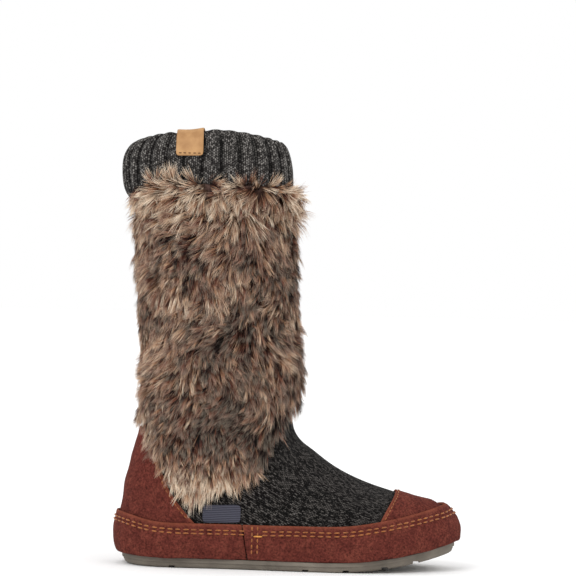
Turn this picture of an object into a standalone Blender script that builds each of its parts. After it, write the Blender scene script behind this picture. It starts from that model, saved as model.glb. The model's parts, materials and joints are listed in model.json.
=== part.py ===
"""Slipper boot: a knitted boot on a rubber sole, with a fur sleeve round its shaft.

Metres, +Z up. The toe points to +X, the outer side of this right boot faces -Y, and the floor is z = 0.
x = 0 is the middle of the upper's length and y = 0 is the middle of the heel.

The whole foot and shaft is one surface, worked out by boot_point(turn, level, offset). Every piece of
leather, knit and fur is laid on that surface at its own offset, so the pieces follow each other.
turn goes round the boot: 0 at the back of the heel, half a circle at the toe, the outer side first.
level is 0 at the sole, 1 at the ankle and 2 at the top of the knitted shaft.
"""

import math
import random

import bmesh
import bpy

# Driving dimensions, in metres
FOOT_LENGTH = 0.253  # the knitted upper, heel to toe
BALL_WIDTH = 0.092  # across the ball of the foot
HEEL_WIDTH = 0.068  # across the heel
ANKLE_HEIGHT = 0.1009  # from the outsole up to the narrowest place over the instep
SHAFT_HEIGHT = 0.1620  # from the ankle up to the top of the knitted shaft
SHAFT_DEPTH = 0.113  # the shaft from front to back
SHAFT_WIDTH = 0.092  # the shaft from side to side
KNIT_WALL = 0.003  # knit and lining together
TOE_SWING = 0.006  # how far the toe lies towards the inner side
TOE_SPRING = 0.0145  # how far the toe stands off the floor
HEEL_LIFT = 0.0010  # how far the back of the heel stands off it

SOLE_THICKNESS = 0.0074
SOLE_MARGIN = 0.0024  # how far the outsole's rim stands out of the upper
SOLE_BAND = 0.0032  # height of the rim band
SOLE_STEP = 0.0011  # the step below the band
SOLE_ROUND = 0.0030  # how far the tread's edge is drawn in under the step
TREAD_DEPTH = 0.0018
GROOVE_WIDTH = 0.0046
INSOLE_THICKNESS = 0.0050
INSOLE_PLAY = 0.0008  # room round the insole

SUEDE = 0.0014
GUARD_HEIGHT = 0.0262
GUARD_EDGE = 0.0016  # thickness of the guard along its top edge
GUARD_BULGE = 0.0034  # and where it is fullest
GUARD_LAP = 0.0007  # how far the front guard stands proud at its seam
LABEL_LENGTH = 0.029
LABEL_HEIGHT = 0.0137
LABEL_THICKNESS = 0.0007

PILE = 0.0100  # length that the fur stands out
BACKING = 0.0016  # the fur's knitted backing
FUR_GAP = 0.0011  # the backing lies looser on the knit
LOCK_DROP = 0.0100  # how far a lock hangs below its own row
LOCK_ROWS = 7

CUFF_HEIGHT = 0.0600
CUFF_BULGE = 0.0180  # how much wider than the shaft the cuff billows out
CUFF_WALL = 0.0042
RIB_COUNT = 28
RIB_DEPTH = 0.0014
TAB_WIDTH = 0.0205
TAB_THICKNESS = 0.0012
TAB_DIP = 0.0025  # how far the seam of the tab pulls the rim down

GAP = 0.0003  # between pieces that touch
CURVE_GAP = 0.0008  # between curved pieces whose facets don't line up
OVER_GAP = 0.0011  # between the guard and the suede that it covers
COLUMNS = 48  # points round the boot

ANKLE_Z = SOLE_THICKNESS + GAP + ANKLE_HEIGHT
SHAFT_TOP_Z = ANKLE_Z + SHAFT_HEIGHT
HALF_LENGTH = FOOT_LENGTH / 2

# The back line: level, distance behind the middle as a share of the foot's length
BACK_LINE = (
    (0.00, 0.486),
    (0.05, 0.496),
    (0.12, 0.500),
    (0.20, 0.500),
    (0.35, 0.494),
    (0.50, 0.486),
    (0.60, 0.478),
    (0.70, 0.470),
    (0.80, 0.459),
    (0.94, 0.444),
    (1.05, 0.435),
    (1.23, 0.431),
    (1.54, 0.443),
    (1.85, 0.458),
    (2.00, 0.465),
)

# The shaft's depth from back to front: level, share of the shaft's depth
SHAFT_LINE = ((1.0, 0.990), (1.05, 0.985), (1.23, 0.986), (1.38, 0.976), (1.54, 0.972), (1.85, 0.986), (2.0, 1.0))

# The front line below the ankle: level, reach towards the toe as a share of the way from the ankle's front
FRONT_LINE = (
    (0.000, 0.984),
    (0.043, 1.000),
    (0.110, 0.988),
    (0.183, 0.962),
    (0.250, 0.930),
    (0.298, 0.892),
    (0.346, 0.832),
    (0.420, 0.704),
    (0.468, 0.620),
    (0.520, 0.536),
    (0.597, 0.392),
    (0.659, 0.308),
    (0.718, 0.232),
    (0.776, 0.167),
    (0.835, 0.110),
    (0.893, 0.054),
    (0.945, 0.019),
    (1.000, 0.000),
)

# The plan of the foot: share of the length from the heel, how far the width has grown from the heel's to the
# ball's, and the outer and inner half as shares of that width
PLAN = (
    (0.00, 0.00, 0.500, 0.500),
    (0.12, 0.00, 0.500, 0.500),
    (0.30, 0.14, 0.500, 0.475),
    (0.45, 0.48, 0.510, 0.450),
    (0.58, 0.82, 0.510, 0.465),
    (0.68, 1.00, 0.500, 0.490),
    (0.76, 1.00, 0.485, 0.510),
    (0.88, 1.00, 0.440, 0.500),
    (1.00, 1.00, 0.380, 0.450),
)
HEEL_ROUND, TOE_ROUND = 0.15, 0.26  # how much of the length each end takes to round off
HEEL_SHAPE, TOE_SHAPE = 2.0, 2.1  # 2 is a circle, and more is blunter
ARCH_RISE, ARCH_SHOULDER = 2.5, 2.2  # how the sides of the foot round over to its top

# The half width of ankle and shaft: level, share of the shaft's width
SHAFT_SIDES = ((0.0, 0.36), (0.6, 0.37), (0.8, 0.385), (1.0, 0.405), (1.22, 0.445), (1.55, 0.485), (2.0, 0.50))
SHAFT_SHAPE = 2.1
BLEND_FROM, BLEND_TO = 0.28, 0.98  # levels between which the foot's sections turn into the shaft's

BALL_PLACE = 0.138  # where the toe spring starts, as a share of the length in front of the middle
HEEL_PLACE = 0.375  # where the heel's lift starts, behind the middle
SPRING_CURVE, HEEL_CURVE = 1.8, 2.0
LIFT_FADE = (0.45, 0.95)  # levels between which the lift of the sole fades out

# Levels of the rings of the upper's wall
OUTER_LEVELS = (0.0, 0.045, 0.118, 0.194, 0.26, 0.32, 0.38, 0.44, 0.50, 0.57, 0.64, 0.71, 0.79, 0.87)
OUTER_LEVELS += (0.94, 1.0, 1.08, 1.23, 1.54, 2.0)
INNER_LEVELS = (2.0, 1.60, 1.21, 1.0, 0.88, 0.76, 0.65, 0.55, 0.45, 0.34, 0.20, 0.05, 0.0)


def read_line(rows, t, column=1):
    """A smooth line through a table's rows, read at t. It never swings past the rows."""
    if t <= rows[0][0]:
        return rows[0][column]
    if t >= rows[-1][0]:
        return rows[-1][column]
    i = max(k for k in range(len(rows) - 1) if rows[k][0] <= t)

    def slope(k):
        return (rows[k + 1][column] - rows[k][column]) / (rows[k + 1][0] - rows[k][0])

    def bend(k):
        if k in (0, len(rows) - 1):
            return slope(0) if k == 0 else slope(k - 1)
        before, after = slope(k - 1), slope(k)
        return 0.0 if before * after <= 0 else 2 * before * after / (before + after)

    width = rows[i + 1][0] - rows[i][0]
    s = (t - rows[i][0]) / width
    a, b = rows[i][column], rows[i + 1][column]
    start, end = bend(i) * width, bend(i + 1) * width
    return (
        a * (2 * s**3 - 3 * s**2 + 1)
        + start * (s**3 - 2 * s**2 + s)
        + b * (3 * s**2 - 2 * s**3)
        + end * (s**3 - s**2)
    )


def ease(start, end, t):
    """0 before start, 1 after end, and a soft step between."""
    s = min(1.0, max(0.0, (t - start) / (end - start)))
    return s * s * (3 - 2 * s)


def rounded(t, power):
    """The quarter of a round end: 0 at t = 0, 1 from t = 1 on."""
    t = min(1.0, max(0.0, t))
    return (1 - (1 - t) ** power) ** (1 / power)


def back_x(level):
    return -FOOT_LENGTH * read_line(BACK_LINE, level)


def front_x(level):
    if level >= 1:
        return back_x(level) + SHAFT_DEPTH * read_line(SHAFT_LINE, level)
    ankle = back_x(1) + SHAFT_DEPTH * SHAFT_LINE[0][1]
    return ankle + (HALF_LENGTH - ankle) * read_line(FRONT_LINE, level)


TOE_LEVEL = FRONT_LINE[1][0]
RIDGE = [(front_x(level / 400), level / 400) for level in range(400, round(400 * TOE_LEVEL) - 1, -1)]


def ridge_level(x):
    """The level of the foot's top line at x. Behind the ankle's front there is no top."""
    if x <= RIDGE[0][0]:
        return None
    return read_line(RIDGE, x)


def foot_half(x, level, outer):
    """Half the foot's width at x and level."""
    share = min(1.0, max(0.0, x / FOOT_LENGTH + 0.5))
    grown = read_line(PLAN, share)
    width = HEEL_WIDTH + (BALL_WIDTH - HEEL_WIDTH) * grown
    half = width * read_line(PLAN, share, 2 if outer else 3)
    half *= rounded((x - back_x(level)) / (HEEL_ROUND * FOOT_LENGTH), HEEL_SHAPE)
    half *= rounded((front_x(TOE_LEVEL) - x) / (TOE_ROUND * FOOT_LENGTH), TOE_SHAPE)
    top = ridge_level(x)
    if top:
        half *= max(0.0, 1 - (level / top) ** ARCH_RISE) ** (1 / ARCH_SHOULDER)
    return half


def shaft_half(x, level):
    """Half the width of the ankle or shaft at x and level."""
    back, front = back_x(level), front_x(level)
    reach = abs(2 * (x - back) / (front - back) - 1)
    return SHAFT_WIDTH * read_line(SHAFT_SIDES, level) * max(0.0, 1 - reach**SHAFT_SHAPE) ** (1 / SHAFT_SHAPE)


def lift(x):
    """How far the toe and heel stand up off a flat sole, at x."""
    ball, heel = BALL_PLACE * FOOT_LENGTH, -HEEL_PLACE * FOOT_LENGTH
    toe_part = max(0.0, (x - ball) / (HALF_LENGTH - ball))
    heel_part = max(0.0, (heel - x) / (heel + HALF_LENGTH))
    return TOE_SPRING * toe_part**SPRING_CURVE + HEEL_LIFT * heel_part**HEEL_CURVE


def level_z(level):
    sole = SOLE_THICKNESS + GAP
    return sole + ANKLE_HEIGHT * min(level, 1) + SHAFT_HEIGHT * max(0.0, level - 1)


def z_level(z):
    """The level at a height, before the lift."""
    rise = z - SOLE_THICKNESS - GAP
    return rise / ANKLE_HEIGHT if rise < ANKLE_HEIGHT else 1 + (rise - ANKLE_HEIGHT) / SHAFT_HEIGHT


def middle_y(x):
    return TOE_SWING * max(0.0, x / HALF_LENGTH) ** 2


def flat_point(turn, level):
    """The boot's own outer surface as if the sole were flat."""
    back, front = back_x(level), front_x(level)
    x = back + (front - back) * (1 - math.cos(turn)) / 2
    outer = math.sin(turn) >= 0
    blend = ease(BLEND_FROM, BLEND_TO, level)
    half = 0.0
    if blend < 1:
        half += (1 - blend) * foot_half(x, level, outer)
    if blend > 0:
        half += blend * shaft_half(x, level)
    side = -1 if outer else 1
    return (x, middle_y(x) + side * half, level_z(level))


def cross(a, b):
    return (a[1] * b[2] - a[2] * b[1], a[2] * b[0] - a[0] * b[2], a[0] * b[1] - a[1] * b[0])


def surface_normal(point_at, u, v, du, dv):
    """The unit normal of a surface of two numbers, from four points close by."""
    along = [a - b for a, b in zip(point_at(u + du, v), point_at(u - du, v))]
    up = [a - b for a, b in zip(point_at(u, v + dv), point_at(u, v - dv))]
    n = cross(along, up)
    size = math.sqrt(sum(c * c for c in n))
    return [c / size for c in n]


TURN_STEP, LEVEL_STEP = 0.02, 0.012


def boot_point(turn, level, offset=0.0, level_rim=False):
    """A point at this offset out of the upper's outer surface. A level rim keeps its own height."""
    x, y, z = flat_point(turn, level)
    if offset:
        near = min(max(level, LEVEL_STEP), 2 - LEVEL_STEP)
        n = surface_normal(flat_point, turn, near, TURN_STEP, LEVEL_STEP)
        if level_rim:
            flat = math.hypot(n[0], n[1])
            n = (n[0] / flat, n[1] / flat, 0.0)
        x, y, z = x + n[0] * offset, y + n[1] * offset, z + n[2] * offset
    return (x, y, z + lift(x) * (1 - ease(*LIFT_FADE, level)))


def turn_at(x, level):
    """The turn on the outer side where the surface passes x."""
    back, front = back_x(level), front_x(level)
    return math.acos(min(1.0, max(-1.0, 1 - 2 * (x - back) / (front - back))))


def turns(count=COLUMNS):
    return [2 * math.pi * i / count for i in range(count)]


def material(name, colour, roughness):
    made = bpy.data.materials.new(name)
    made.use_nodes = True
    shader = made.node_tree.nodes["Principled BSDF"]
    shader.inputs["Base Color"].default_value = (*colour, 1)
    shader.inputs["Roughness"].default_value = roughness
    shader.inputs["Metallic"].default_value = 0
    return made


def add_object(name, mesh, finish):
    """The mesh as an object. Its faces are turned outwards and shaded smooth where they are round."""
    bmesh.ops.recalc_face_normals(mesh, faces=mesh.faces)
    data = bpy.data.meshes.new(name)
    mesh.to_mesh(data)
    mesh.free()
    data.shade_smooth()
    data.set_sharp_from_angle(angle=math.radians(40))
    data.materials.append(finish)
    made = bpy.data.objects.new(name, data)
    bpy.context.collection.objects.link(made)
    return made


def bridge(mesh, first, second, closed=True):
    """A strip of faces between two rows of vertices."""
    count = len(first)
    for i in range(count if closed else count - 1):
        j = (i + 1) % count
        mesh.faces.new((first[i], first[j], second[j], second[i]))


def tube_solid(name, rings, finish):
    """A closed wall: each ring is bridged to the next, and the last to the first."""
    mesh = bmesh.new()
    rows = [[mesh.verts.new(p) for p in ring] for ring in rings]
    for first, second in zip(rows, rows[1:] + rows[:1]):
        bridge(mesh, first, second)
    return add_object(name, mesh, finish)


def slab_solid(name, rings, finish):
    """A solid with rings round its sides. Top and bottom are strips from the outer side to the inner."""
    mesh = bmesh.new()
    rows = [[mesh.verts.new(p) for p in ring] for ring in rings]
    for first, second in zip(rows, rows[1:]):
        bridge(mesh, first, second)
    for row in (rows[0], rows[-1]):
        count, half = len(row), len(row) // 2
        mesh.faces.new((row[0], row[1], row[count - 1]))
        for i in range(1, half - 1):
            mesh.faces.new((row[i], row[i + 1], row[count - i - 1], row[count - i]))
        mesh.faces.new((row[half - 1], row[half], row[half + 1]))
    return add_object(name, mesh, finish)


def sheet_solid(name, inner, outer, finish):
    """A closed piece between two grids of points with as many rows and columns."""
    mesh = bmesh.new()
    grids = [[[mesh.verts.new(p) for p in row] for row in grid] for grid in (inner, outer)]
    for grid in grids:
        for first, second in zip(grid, grid[1:]):
            bridge(mesh, first, second, closed=False)
    for end in (0, -1):
        bridge(mesh, grids[0][end], grids[1][end], closed=False)
        bridge(mesh, [row[end] for row in grids[0]], [row[end] for row in grids[1]], closed=False)
    return add_object(name, mesh, finish)


def make_upper(finish):
    """The knitted wall from the sole to the shaft's top, open at both ends."""
    rings = []
    for level in OUTER_LEVELS:
        rings.append([boot_point(turn, level) for turn in turns()])
    for level in INNER_LEVELS:
        rim = level in (INNER_LEVELS[0], INNER_LEVELS[-1])
        rings.append([boot_point(turn, level, -KNIT_WALL, rim) for turn in turns()])
    return tube_solid("upper", rings, finish)


def sole_ring(offset, z):
    """The sole's outline at this offset from the upper's lower edge, z above the bottom of a flat sole."""
    ring = []
    for turn in turns():
        x, y, _ = boot_point(turn, 0, offset, level_rim=True)
        ring.append((x, y, z + lift(x)))
    return ring


# Places of the cross grooves that show at the side, as shares of the length in front of the middle
GROOVES = (-0.340, 0.055, 0.174, 0.289, 0.383)


def make_outsole(finish):
    """The rim band, the step under it and the rounded tread, with its cross grooves cut out."""
    band = SOLE_THICKNESS - SOLE_BAND
    under = SOLE_MARGIN - SOLE_STEP
    rings = [
        sole_ring(under - SOLE_ROUND, 0.0),
        sole_ring(under - 0.35 * SOLE_ROUND, 0.22 * band),
        sole_ring(under, 0.75 * band),
        sole_ring(under, band),
        sole_ring(SOLE_MARGIN, band + 0.2 * SOLE_STEP),
        sole_ring(SOLE_MARGIN, SOLE_THICKNESS),
    ]
    sole = slab_solid("outsole", rings, finish)
    for number, place in enumerate(GROOVES):
        x = place * FOOT_LENGTH
        bpy.ops.mesh.primitive_cube_add(size=1, location=(x, 0, lift(x) + TREAD_DEPTH - SOLE_THICKNESS))
        cutter = bpy.context.object
        cutter.name = f"groove_cutter_{number}"
        cutter.scale = (GROOVE_WIDTH, 2 * BALL_WIDTH, 2 * SOLE_THICKNESS)
        cutter.hide_render = True
        cutter.display_type = "WIRE"
        cut = sole.modifiers.new("groove", "BOOLEAN")
        cut.object = cutter
        cut.operation = "DIFFERENCE"
        cut.solver = "EXACT"
    return sole


def make_insole(finish):
    """The footbed, inside the knitted wall and on the outsole."""
    inside = -KNIT_WALL - INSOLE_PLAY
    edge = 0.25 * INSOLE_THICKNESS
    rings = []
    for rise, inset in ((0.0, 0.0), (INSOLE_THICKNESS - edge, 0.0), (INSOLE_THICKNESS, edge)):
        rings.append([boot_point(turn, rise / ANKLE_HEIGHT, inside - inset, True) for turn in turns()])
    return slab_solid("insole", rings, finish)


# The heel counter's front edge and the toe cap's back edge: level, place as a share of the length
COUNTER_EDGE = (
    (0.17, -0.240),
    (0.27, -0.281),
    (0.39, -0.324),
    (0.47, -0.348),
    (0.58, -0.368),
    (0.70, -0.387),
    (0.80, -0.402),
    (0.89, -0.419),
    (0.95, -0.436),
)
CAP_EDGE = ((0.17, 0.255), (0.295, 0.277), (0.40, 0.305), (0.48, 0.328))
OVERLAY_FOOT = 0.17  # level of the lower edge of counter and cap, under the guard
COUNTER_TOP = 0.95


def cap_top_level():
    """The level where the toe cap's edge crosses the foot's top line."""
    level = CAP_EDGE[-1][0]
    while front_x(level) < read_line(CAP_EDGE, level) * FOOT_LENGTH:
        level -= 0.002
    return level


def overlay(name, levels, edge_turns, columns, toe, finish, low, thick):
    """A piece round the heel or toe between two offsets. Its edge turn is given for each level."""
    grids = []
    for offset in (low, low + thick):
        rows = []
        for level, edge in zip(levels, edge_turns):
            start, end = (edge, 2 * math.pi - edge) if toe else (-edge, edge)
            shares = [i / columns for i in range(columns + 1)]
            rows.append([boot_point(start + (end - start) * s, level, offset) for s in shares])
        grids.append(rows)
    return sheet_solid(name, *grids, finish)


def make_heel_counter(finish):
    """Suede up the back of the heel, to a rounded point at the top."""
    rows = 9
    levels = [OVERLAY_FOOT + (COUNTER_TOP - OVERLAY_FOOT) * (1 - (1 - i / rows) ** 1.35) for i in range(rows + 1)]
    edges = [turn_at(read_line(COUNTER_EDGE, level) * FOOT_LENGTH, level) for level in levels]
    return overlay("heel_counter", levels, edges, 20, False, finish, CURVE_GAP, SUEDE)


def make_toe_cap(finish):
    """Suede over the toes, from under the guard up to its edge across the foot."""
    rows = 8
    top = cap_top_level()
    levels = [OVERLAY_FOOT + (top - OVERLAY_FOOT) * (1 - (1 - i / rows) ** 1.3) for i in range(rows + 1)]
    edges = [turn_at(read_line(CAP_EDGE, level) * FOOT_LENGTH, level) for level in levels]
    edges[-1] = min(edges[-1], math.pi - 0.12)
    return overlay("toe_cap", levels, edges, 18, True, finish, CURVE_GAP, SUEDE)


SEAM_PLACE = -0.122  # the guard's side seams, as a share of the length
GUARD_HEEL_RISE, GUARD_TOE_RISE = 0.0050, 0.0012  # how much higher the guard's top is at each end

# The guard's thickness from its lower edge to its top: share of its height, share of the bulge
GUARD_SECTION = ((0.0, 0.45), (0.12, 0.84), (0.32, 1.0), (0.60, 0.90), (0.86, 0.62), (1.0, 0.0))


def guard_top_level(x):
    heel = ease(0.36, 0.5, -x / FOOT_LENGTH)
    toe = ease(0.10, 0.5, x / FOOT_LENGTH)
    return (GUARD_HEIGHT + GUARD_HEEL_RISE * heel + GUARD_TOE_RISE * toe) / ANKLE_HEIGHT


def guard_inner(turn, level):
    """The guard's inner offset: on the knit, and stepped out over counter and cap."""
    x = flat_point(turn, level)[0]
    edge = 0.030 * FOOT_LENGTH
    counter = read_line(COUNTER_EDGE, level) * FOOT_LENGTH + edge
    cap = read_line(CAP_EDGE, level) * FOOT_LENGTH - edge
    covered = max(1 - ease(counter, counter + edge, x), ease(cap - edge, cap, x))
    return CURVE_GAP + (SUEDE + OVER_GAP) * covered


def guard_grids(start, end, columns, lapped):
    """The two faces of a guard strip between two turns."""
    inner, outer = [], []
    seam = SEAM_PLACE * FOOT_LENGTH
    for share, full in GUARD_SECTION:
        inner_row, outer_row = [], []
        for i in range(columns + 1):
            turn = start + (end - start) * i / columns
            x = flat_point(turn, 0.1)[0]
            level = share * guard_top_level(x)
            low = guard_inner(turn, level)
            lap = GUARD_LAP * (1 - ease(0.02, 0.05, abs(x - seam) / FOOT_LENGTH)) if lapped else 0.0
            thick = GUARD_EDGE + (GUARD_BULGE - GUARD_EDGE) * full + lap
            inner_row.append(boot_point(turn, level, low, share == 0))
            outer_row.append(boot_point(turn, level, low + thick, share == 0))
        inner.append(inner_row)
        outer.append(outer_row)
    return inner, outer


def make_guards(finish):
    """The heel strip and the front strip, with a seam on each side."""
    seam = turn_at(SEAM_PLACE * FOOT_LENGTH, 0.1)
    split = 2 * GAP / FOOT_LENGTH
    heel = guard_grids(-seam + split, seam - split, 22, False)
    front = guard_grids(seam + split, 2 * math.pi - seam - split, 36, True)
    return [
        sheet_solid("guard_heel", *heel, finish),
        sheet_solid("guard_front", *front, finish),
    ]


LABEL_PLACE = -0.196  # the middle of the label, as a share of the length
LABEL_LEVEL = 0.2625  # its lower edge
LABEL_TILT = 0.0008  # how much higher its front end is


def make_label(finish):
    """The woven label, flat on the knit just above the guard."""
    columns, rows = 5, 3
    grids = []
    for offset in (CURVE_GAP, CURVE_GAP + LABEL_THICKNESS):
        grid = []
        for j in range(rows + 1):
            row = []
            for i in range(columns + 1):
                level = LABEL_LEVEL + (LABEL_HEIGHT * j / rows + LABEL_TILT * i / columns) / ANKLE_HEIGHT
                x = LABEL_PLACE * FOOT_LENGTH + LABEL_LENGTH * (i / columns - 0.5)
                row.append(boot_point(turn_at(x, level), level, offset))
            grid.append(row)
        grids.append(grid)
    return sheet_solid("label", *grids, finish)


# The cuff's outer side from its lower edge to its rim. How far it stands out past the shaft at front and
# back together, and at both sides together, as shares of its bulge; its height at the sides, and at front
# and back, as shares of its own; and how far its middle lies behind the shaft's, as a share of the bulge
CUFF_SECTION = (
    (0.0, 0.00, 0.00, 0.000, 0.000, 0.00),
    (1.0, 0.42, 0.22, 0.060, 0.060, 0.15),
    (2.0, 0.93, 0.56, 0.200, 0.200, 0.29),
    (3.0, 1.00, 0.67, 0.450, 0.450, 0.33),
    (4.0, 0.89, 0.61, 0.700, 0.630, 0.37),
    (5.0, 0.42, 0.22, 0.880, 0.790, 0.31),
    (6.0, -0.46, -0.39, 0.985, 0.865, 0.16),
)
CUFF_RIM = 6.0
TAB_PLACE = -0.162  # the tab's middle from the shaft's, as a share of the shaft's depth


def tab_middle():
    return (back_x(2) + front_x(2)) / 2 + TAB_PLACE * SHAFT_DEPTH


def cuff_ellipse(place):
    """The middle, depth and width of the cuff at this place up its section."""
    depth = SHAFT_DEPTH + CUFF_BULGE * read_line(CUFF_SECTION, place, 1)
    width = SHAFT_WIDTH + CUFF_BULGE * read_line(CUFF_SECTION, place, 2)
    middle = (back_x(2) + front_x(2)) / 2 - CUFF_BULGE * read_line(CUFF_SECTION, place, 5)
    return middle, depth, width


def cuff_base(turn, place):
    """The cuff's outer surface without its ribs. place runs up its section."""
    middle, depth, width = cuff_ellipse(place)
    side_z = read_line(CUFF_SECTION, place, 3)
    end_z = read_line(CUFF_SECTION, place, 4)
    rise = end_z + (side_z - end_z) * math.sin(turn) ** 2
    x = middle - depth / 2 * math.cos(turn)
    y = -width / 2 * math.sin(turn)
    from_tab = (x - tab_middle()) / (0.9 * TAB_WIDTH)
    dip = TAB_DIP * max(0.0, 1 - from_tab**2) ** 2 if y < 0 else 0.0
    return (x, y, SHAFT_TOP_Z + GAP + CUFF_HEIGHT * rise - dip * ease(4, CUFF_RIM, place))


def cuff_turn_at(x, place):
    """The turn on the outer side where the cuff passes x."""
    middle, depth, _ = cuff_ellipse(place)
    return math.acos(2 * (middle - x) / depth)


def cuff_point(turn, place, offset=0.0):
    x, y, z = cuff_base(turn, place)
    near = min(max(place, 0.1), CUFF_RIM - 0.1)
    n = surface_normal(cuff_base, turn, near, TURN_STEP, 0.1)
    if place == 0:
        flat = math.hypot(n[0], n[1])
        n = (n[0] / flat, n[1] / flat, 0.0)
    return (x + n[0] * offset, y + n[1] * offset, z + n[2] * offset)


# The lower edge of the fur's backing seen from the side: place as a share of the shaft's depth from the
# ankle's back, and height as a share of the ankle's height above the floor
HEM = (
    (0.000, 1.105),
    (0.044, 1.050),
    (0.100, 0.927),
    (0.151, 0.760),
    (0.234, 0.604),
    (0.335, 0.557),
    (0.458, 0.557),
    (0.548, 0.614),
    (0.648, 0.687),
    (0.756, 0.760),
    (0.832, 0.927),
    (0.908, 1.083),
    (0.962, 1.190),
)
FUR_TOP = 1.985
# How far the fur's top edge rises over the foot of the cuff: share of the way from back to front, place up
# the cuff's section
CREST = ((0.00, 0.60), (0.08, 0.80), (0.17, 1.80), (0.30, 2.25), (1.00, 2.25))
CREST_RISE = 0.35  # how far its tips stand up, as a share of the pile
FLAT_BACK = 0.35  # how much flatter the pile lies down the back
FRONT_TUFT = 0.40  # how much fuller the top edge is in front
FRINGE = 0.40  # how far its tips stand out past the cuff at least, as a share of the pile


def hem_level(turn):
    """The level where this column of the fur meets its lower edge."""
    level = FUR_TOP
    while level_z(level) > read_line(HEM, (flat_point(turn, level)[0] - back_x(1)) / SHAFT_DEPTH) * ANKLE_Z:
        level -= 0.004
    return level


def step_down(turn, level, drop):
    """The level that lies a drop lower down the boot's side."""
    return z_level(level_z(level) - drop)


# One row of locks from its root to under its tip: share of the row, pile on a lock, pile between locks
LOCK = ((0.00, 0.42, 0.36), (0.50, 0.74, 0.56), (1.00, 1.00, 0.66))
LOCK_COLUMNS = 3


def pile_at(turn):
    """The length of the pile at this turn: flatter down the back."""
    share = abs(1 - abs(turn / math.pi - 1))
    return PILE * (1 - FLAT_BACK * (1 - ease(0.04, 0.22, share)))


def outermost(*points):
    """The plan of the point that lies furthest from the middle of the shaft's top."""
    middle = (back_x(2) + front_x(2)) / 2
    x, y, _ = max(points, key=lambda point: math.hypot(point[0] - middle, point[1]))
    return x, y


def fur_crest(rng):
    """The rings of the fur's top edge: at the foot of the cuff, up against it, and out at the tips."""
    foot, against, tips = [], [], []
    for turn in turns():
        share = abs(1 - abs(turn / math.pi - 1))
        place = read_line(CREST, share)
        foot.append(cuff_point(turn, 0.8 * place, OVER_GAP))
        x, y, z = cuff_point(turn, place, OVER_GAP)
        against.append((x, y, z))
        full = 0.85 + FRONT_TUFT * ease(0.7, 0.95, share)
        x, y = outermost(
            boot_point(turn, FUR_TOP, FUR_GAP + BACKING + full * pile_at(turn), True),
            cuff_point(turn, place, OVER_GAP + FRINGE * PILE),
        )
        rise = CREST_RISE * PILE * (0.6 + 0.8 * rng.random()) * ease(0.05, 0.2, share)
        tips.append((x, y, z + rise))
    return [foot, against, tips]


def make_fur_sleeve(finish):
    """The backing with rows of overlapping locks that hang down and outwards."""
    rng = random.Random(7)
    hems = [hem_level(turn) for turn in turns()]
    rings = [[boot_point(turn, FUR_TOP, FUR_GAP, True) for turn in turns()]]
    rings += fur_crest(rng)
    for row in range(LOCK_ROWS):
        shift = (row * 2) % LOCK_COLUMNS
        drops = [LOCK_DROP * (0.5 + 0.7 * rng.random()) for _ in range(COLUMNS)]
        fulls = [0.86 + 0.28 * rng.random() for _ in range(COLUMNS)]
        for share, on_lock, between in LOCK:
            if row == 0 and share == 0:
                continue
            ring = []
            for i, turn in enumerate(turns()):
                lock = ((i + shift) // LOCK_COLUMNS) % (COLUMNS // LOCK_COLUMNS)
                valley = (i + shift) % LOCK_COLUMNS == 0
                at = (row + share) / LOCK_ROWS
                level = FUR_TOP + (hems[i] - FUR_TOP) * at
                pile = pile_at(turn) * (between if valley else on_lock * fulls[lock])
                if share == 1:
                    level = step_down(turn, level, 0.1 * LOCK_DROP if valley else drops[lock])
                ring.append(boot_point(turn, level, FUR_GAP + BACKING + pile))
            rings.append(ring)
    for share in (1.0, 0.78, 0.55, 0.27):
        ring = []
        for i, turn in enumerate(turns()):
            level = FUR_TOP + (hems[i] - FUR_TOP) * share
            ring.append(boot_point(turn, level, FUR_GAP))
        rings.append(ring)
    return tube_solid("fur_sleeve", rings, finish)


RIB_PHASE = math.radians(10)
RIB_COLUMNS = ((0.0, -1.0), (0.30, 0.0), (0.70, 0.0))  # place along a rib and depth: the groove, then the crest


CUFF_OUTSIDE = (0.0, 1.0, 2.0, 3.0, 4.0, 5.0, 5.6, CUFF_RIM)
CUFF_INSIDE = (5.6, 4.6, 2.0, 0.0)


def make_cuff(finish):
    """The rib-knit band: grooves run up its outer side, over a soft rim."""
    columns = []
    for rib in range(RIB_COUNT):
        for along, depth in RIB_COLUMNS:
            turn = RIB_PHASE + 2 * math.pi * (rib + along) / RIB_COUNT
            columns.append((turn, depth * RIB_DEPTH))
    rings = []
    for place in CUFF_OUTSIDE:
        rings.append([cuff_point(turn, place, depth) for turn, depth in columns])
    for place in CUFF_INSIDE:
        rings.append([cuff_point(turn, place, -CUFF_WALL) for turn, _ in columns])
    return tube_solid("cuff", rings, finish)


# The tab's way over the rim: outside the cuff, across its rim as shares of the wall, and inside it
TAB_OUTSIDE = (3.65, 4.0, 5.0, 5.6)
TAB_ACROSS = (0.0, 0.5, 1.0)
TAB_INSIDE = (5.6, 4.6)


def make_tab(finish):
    """Leather folded over the rim: down outside, and a little way down inside."""
    columns = 4
    grids = []
    for face in (0.0, TAB_THICKNESS):
        away = CURVE_GAP + face
        path = [(place, away, 0.0) for place in TAB_OUTSIDE]
        path += [(CUFF_RIM, -share * CUFF_WALL, away) for share in TAB_ACROSS]
        path += [(place, -CUFF_WALL - away, 0.0) for place in TAB_INSIDE]
        rows = []
        for place, offset, rise in path:
            row = []
            for i in range(columns + 1):
                x = tab_middle() + TAB_WIDTH * (i / columns - 0.5)
                px, py, pz = cuff_point(cuff_turn_at(x, place), place, offset)
                row.append((px, py, pz + rise))
            rows.append(row)
        grids.append(rows)
    return sheet_solid("tab", *grids, finish)


def clear_scene():
    for item in list(bpy.data.objects):
        bpy.data.objects.remove(item)


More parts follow.
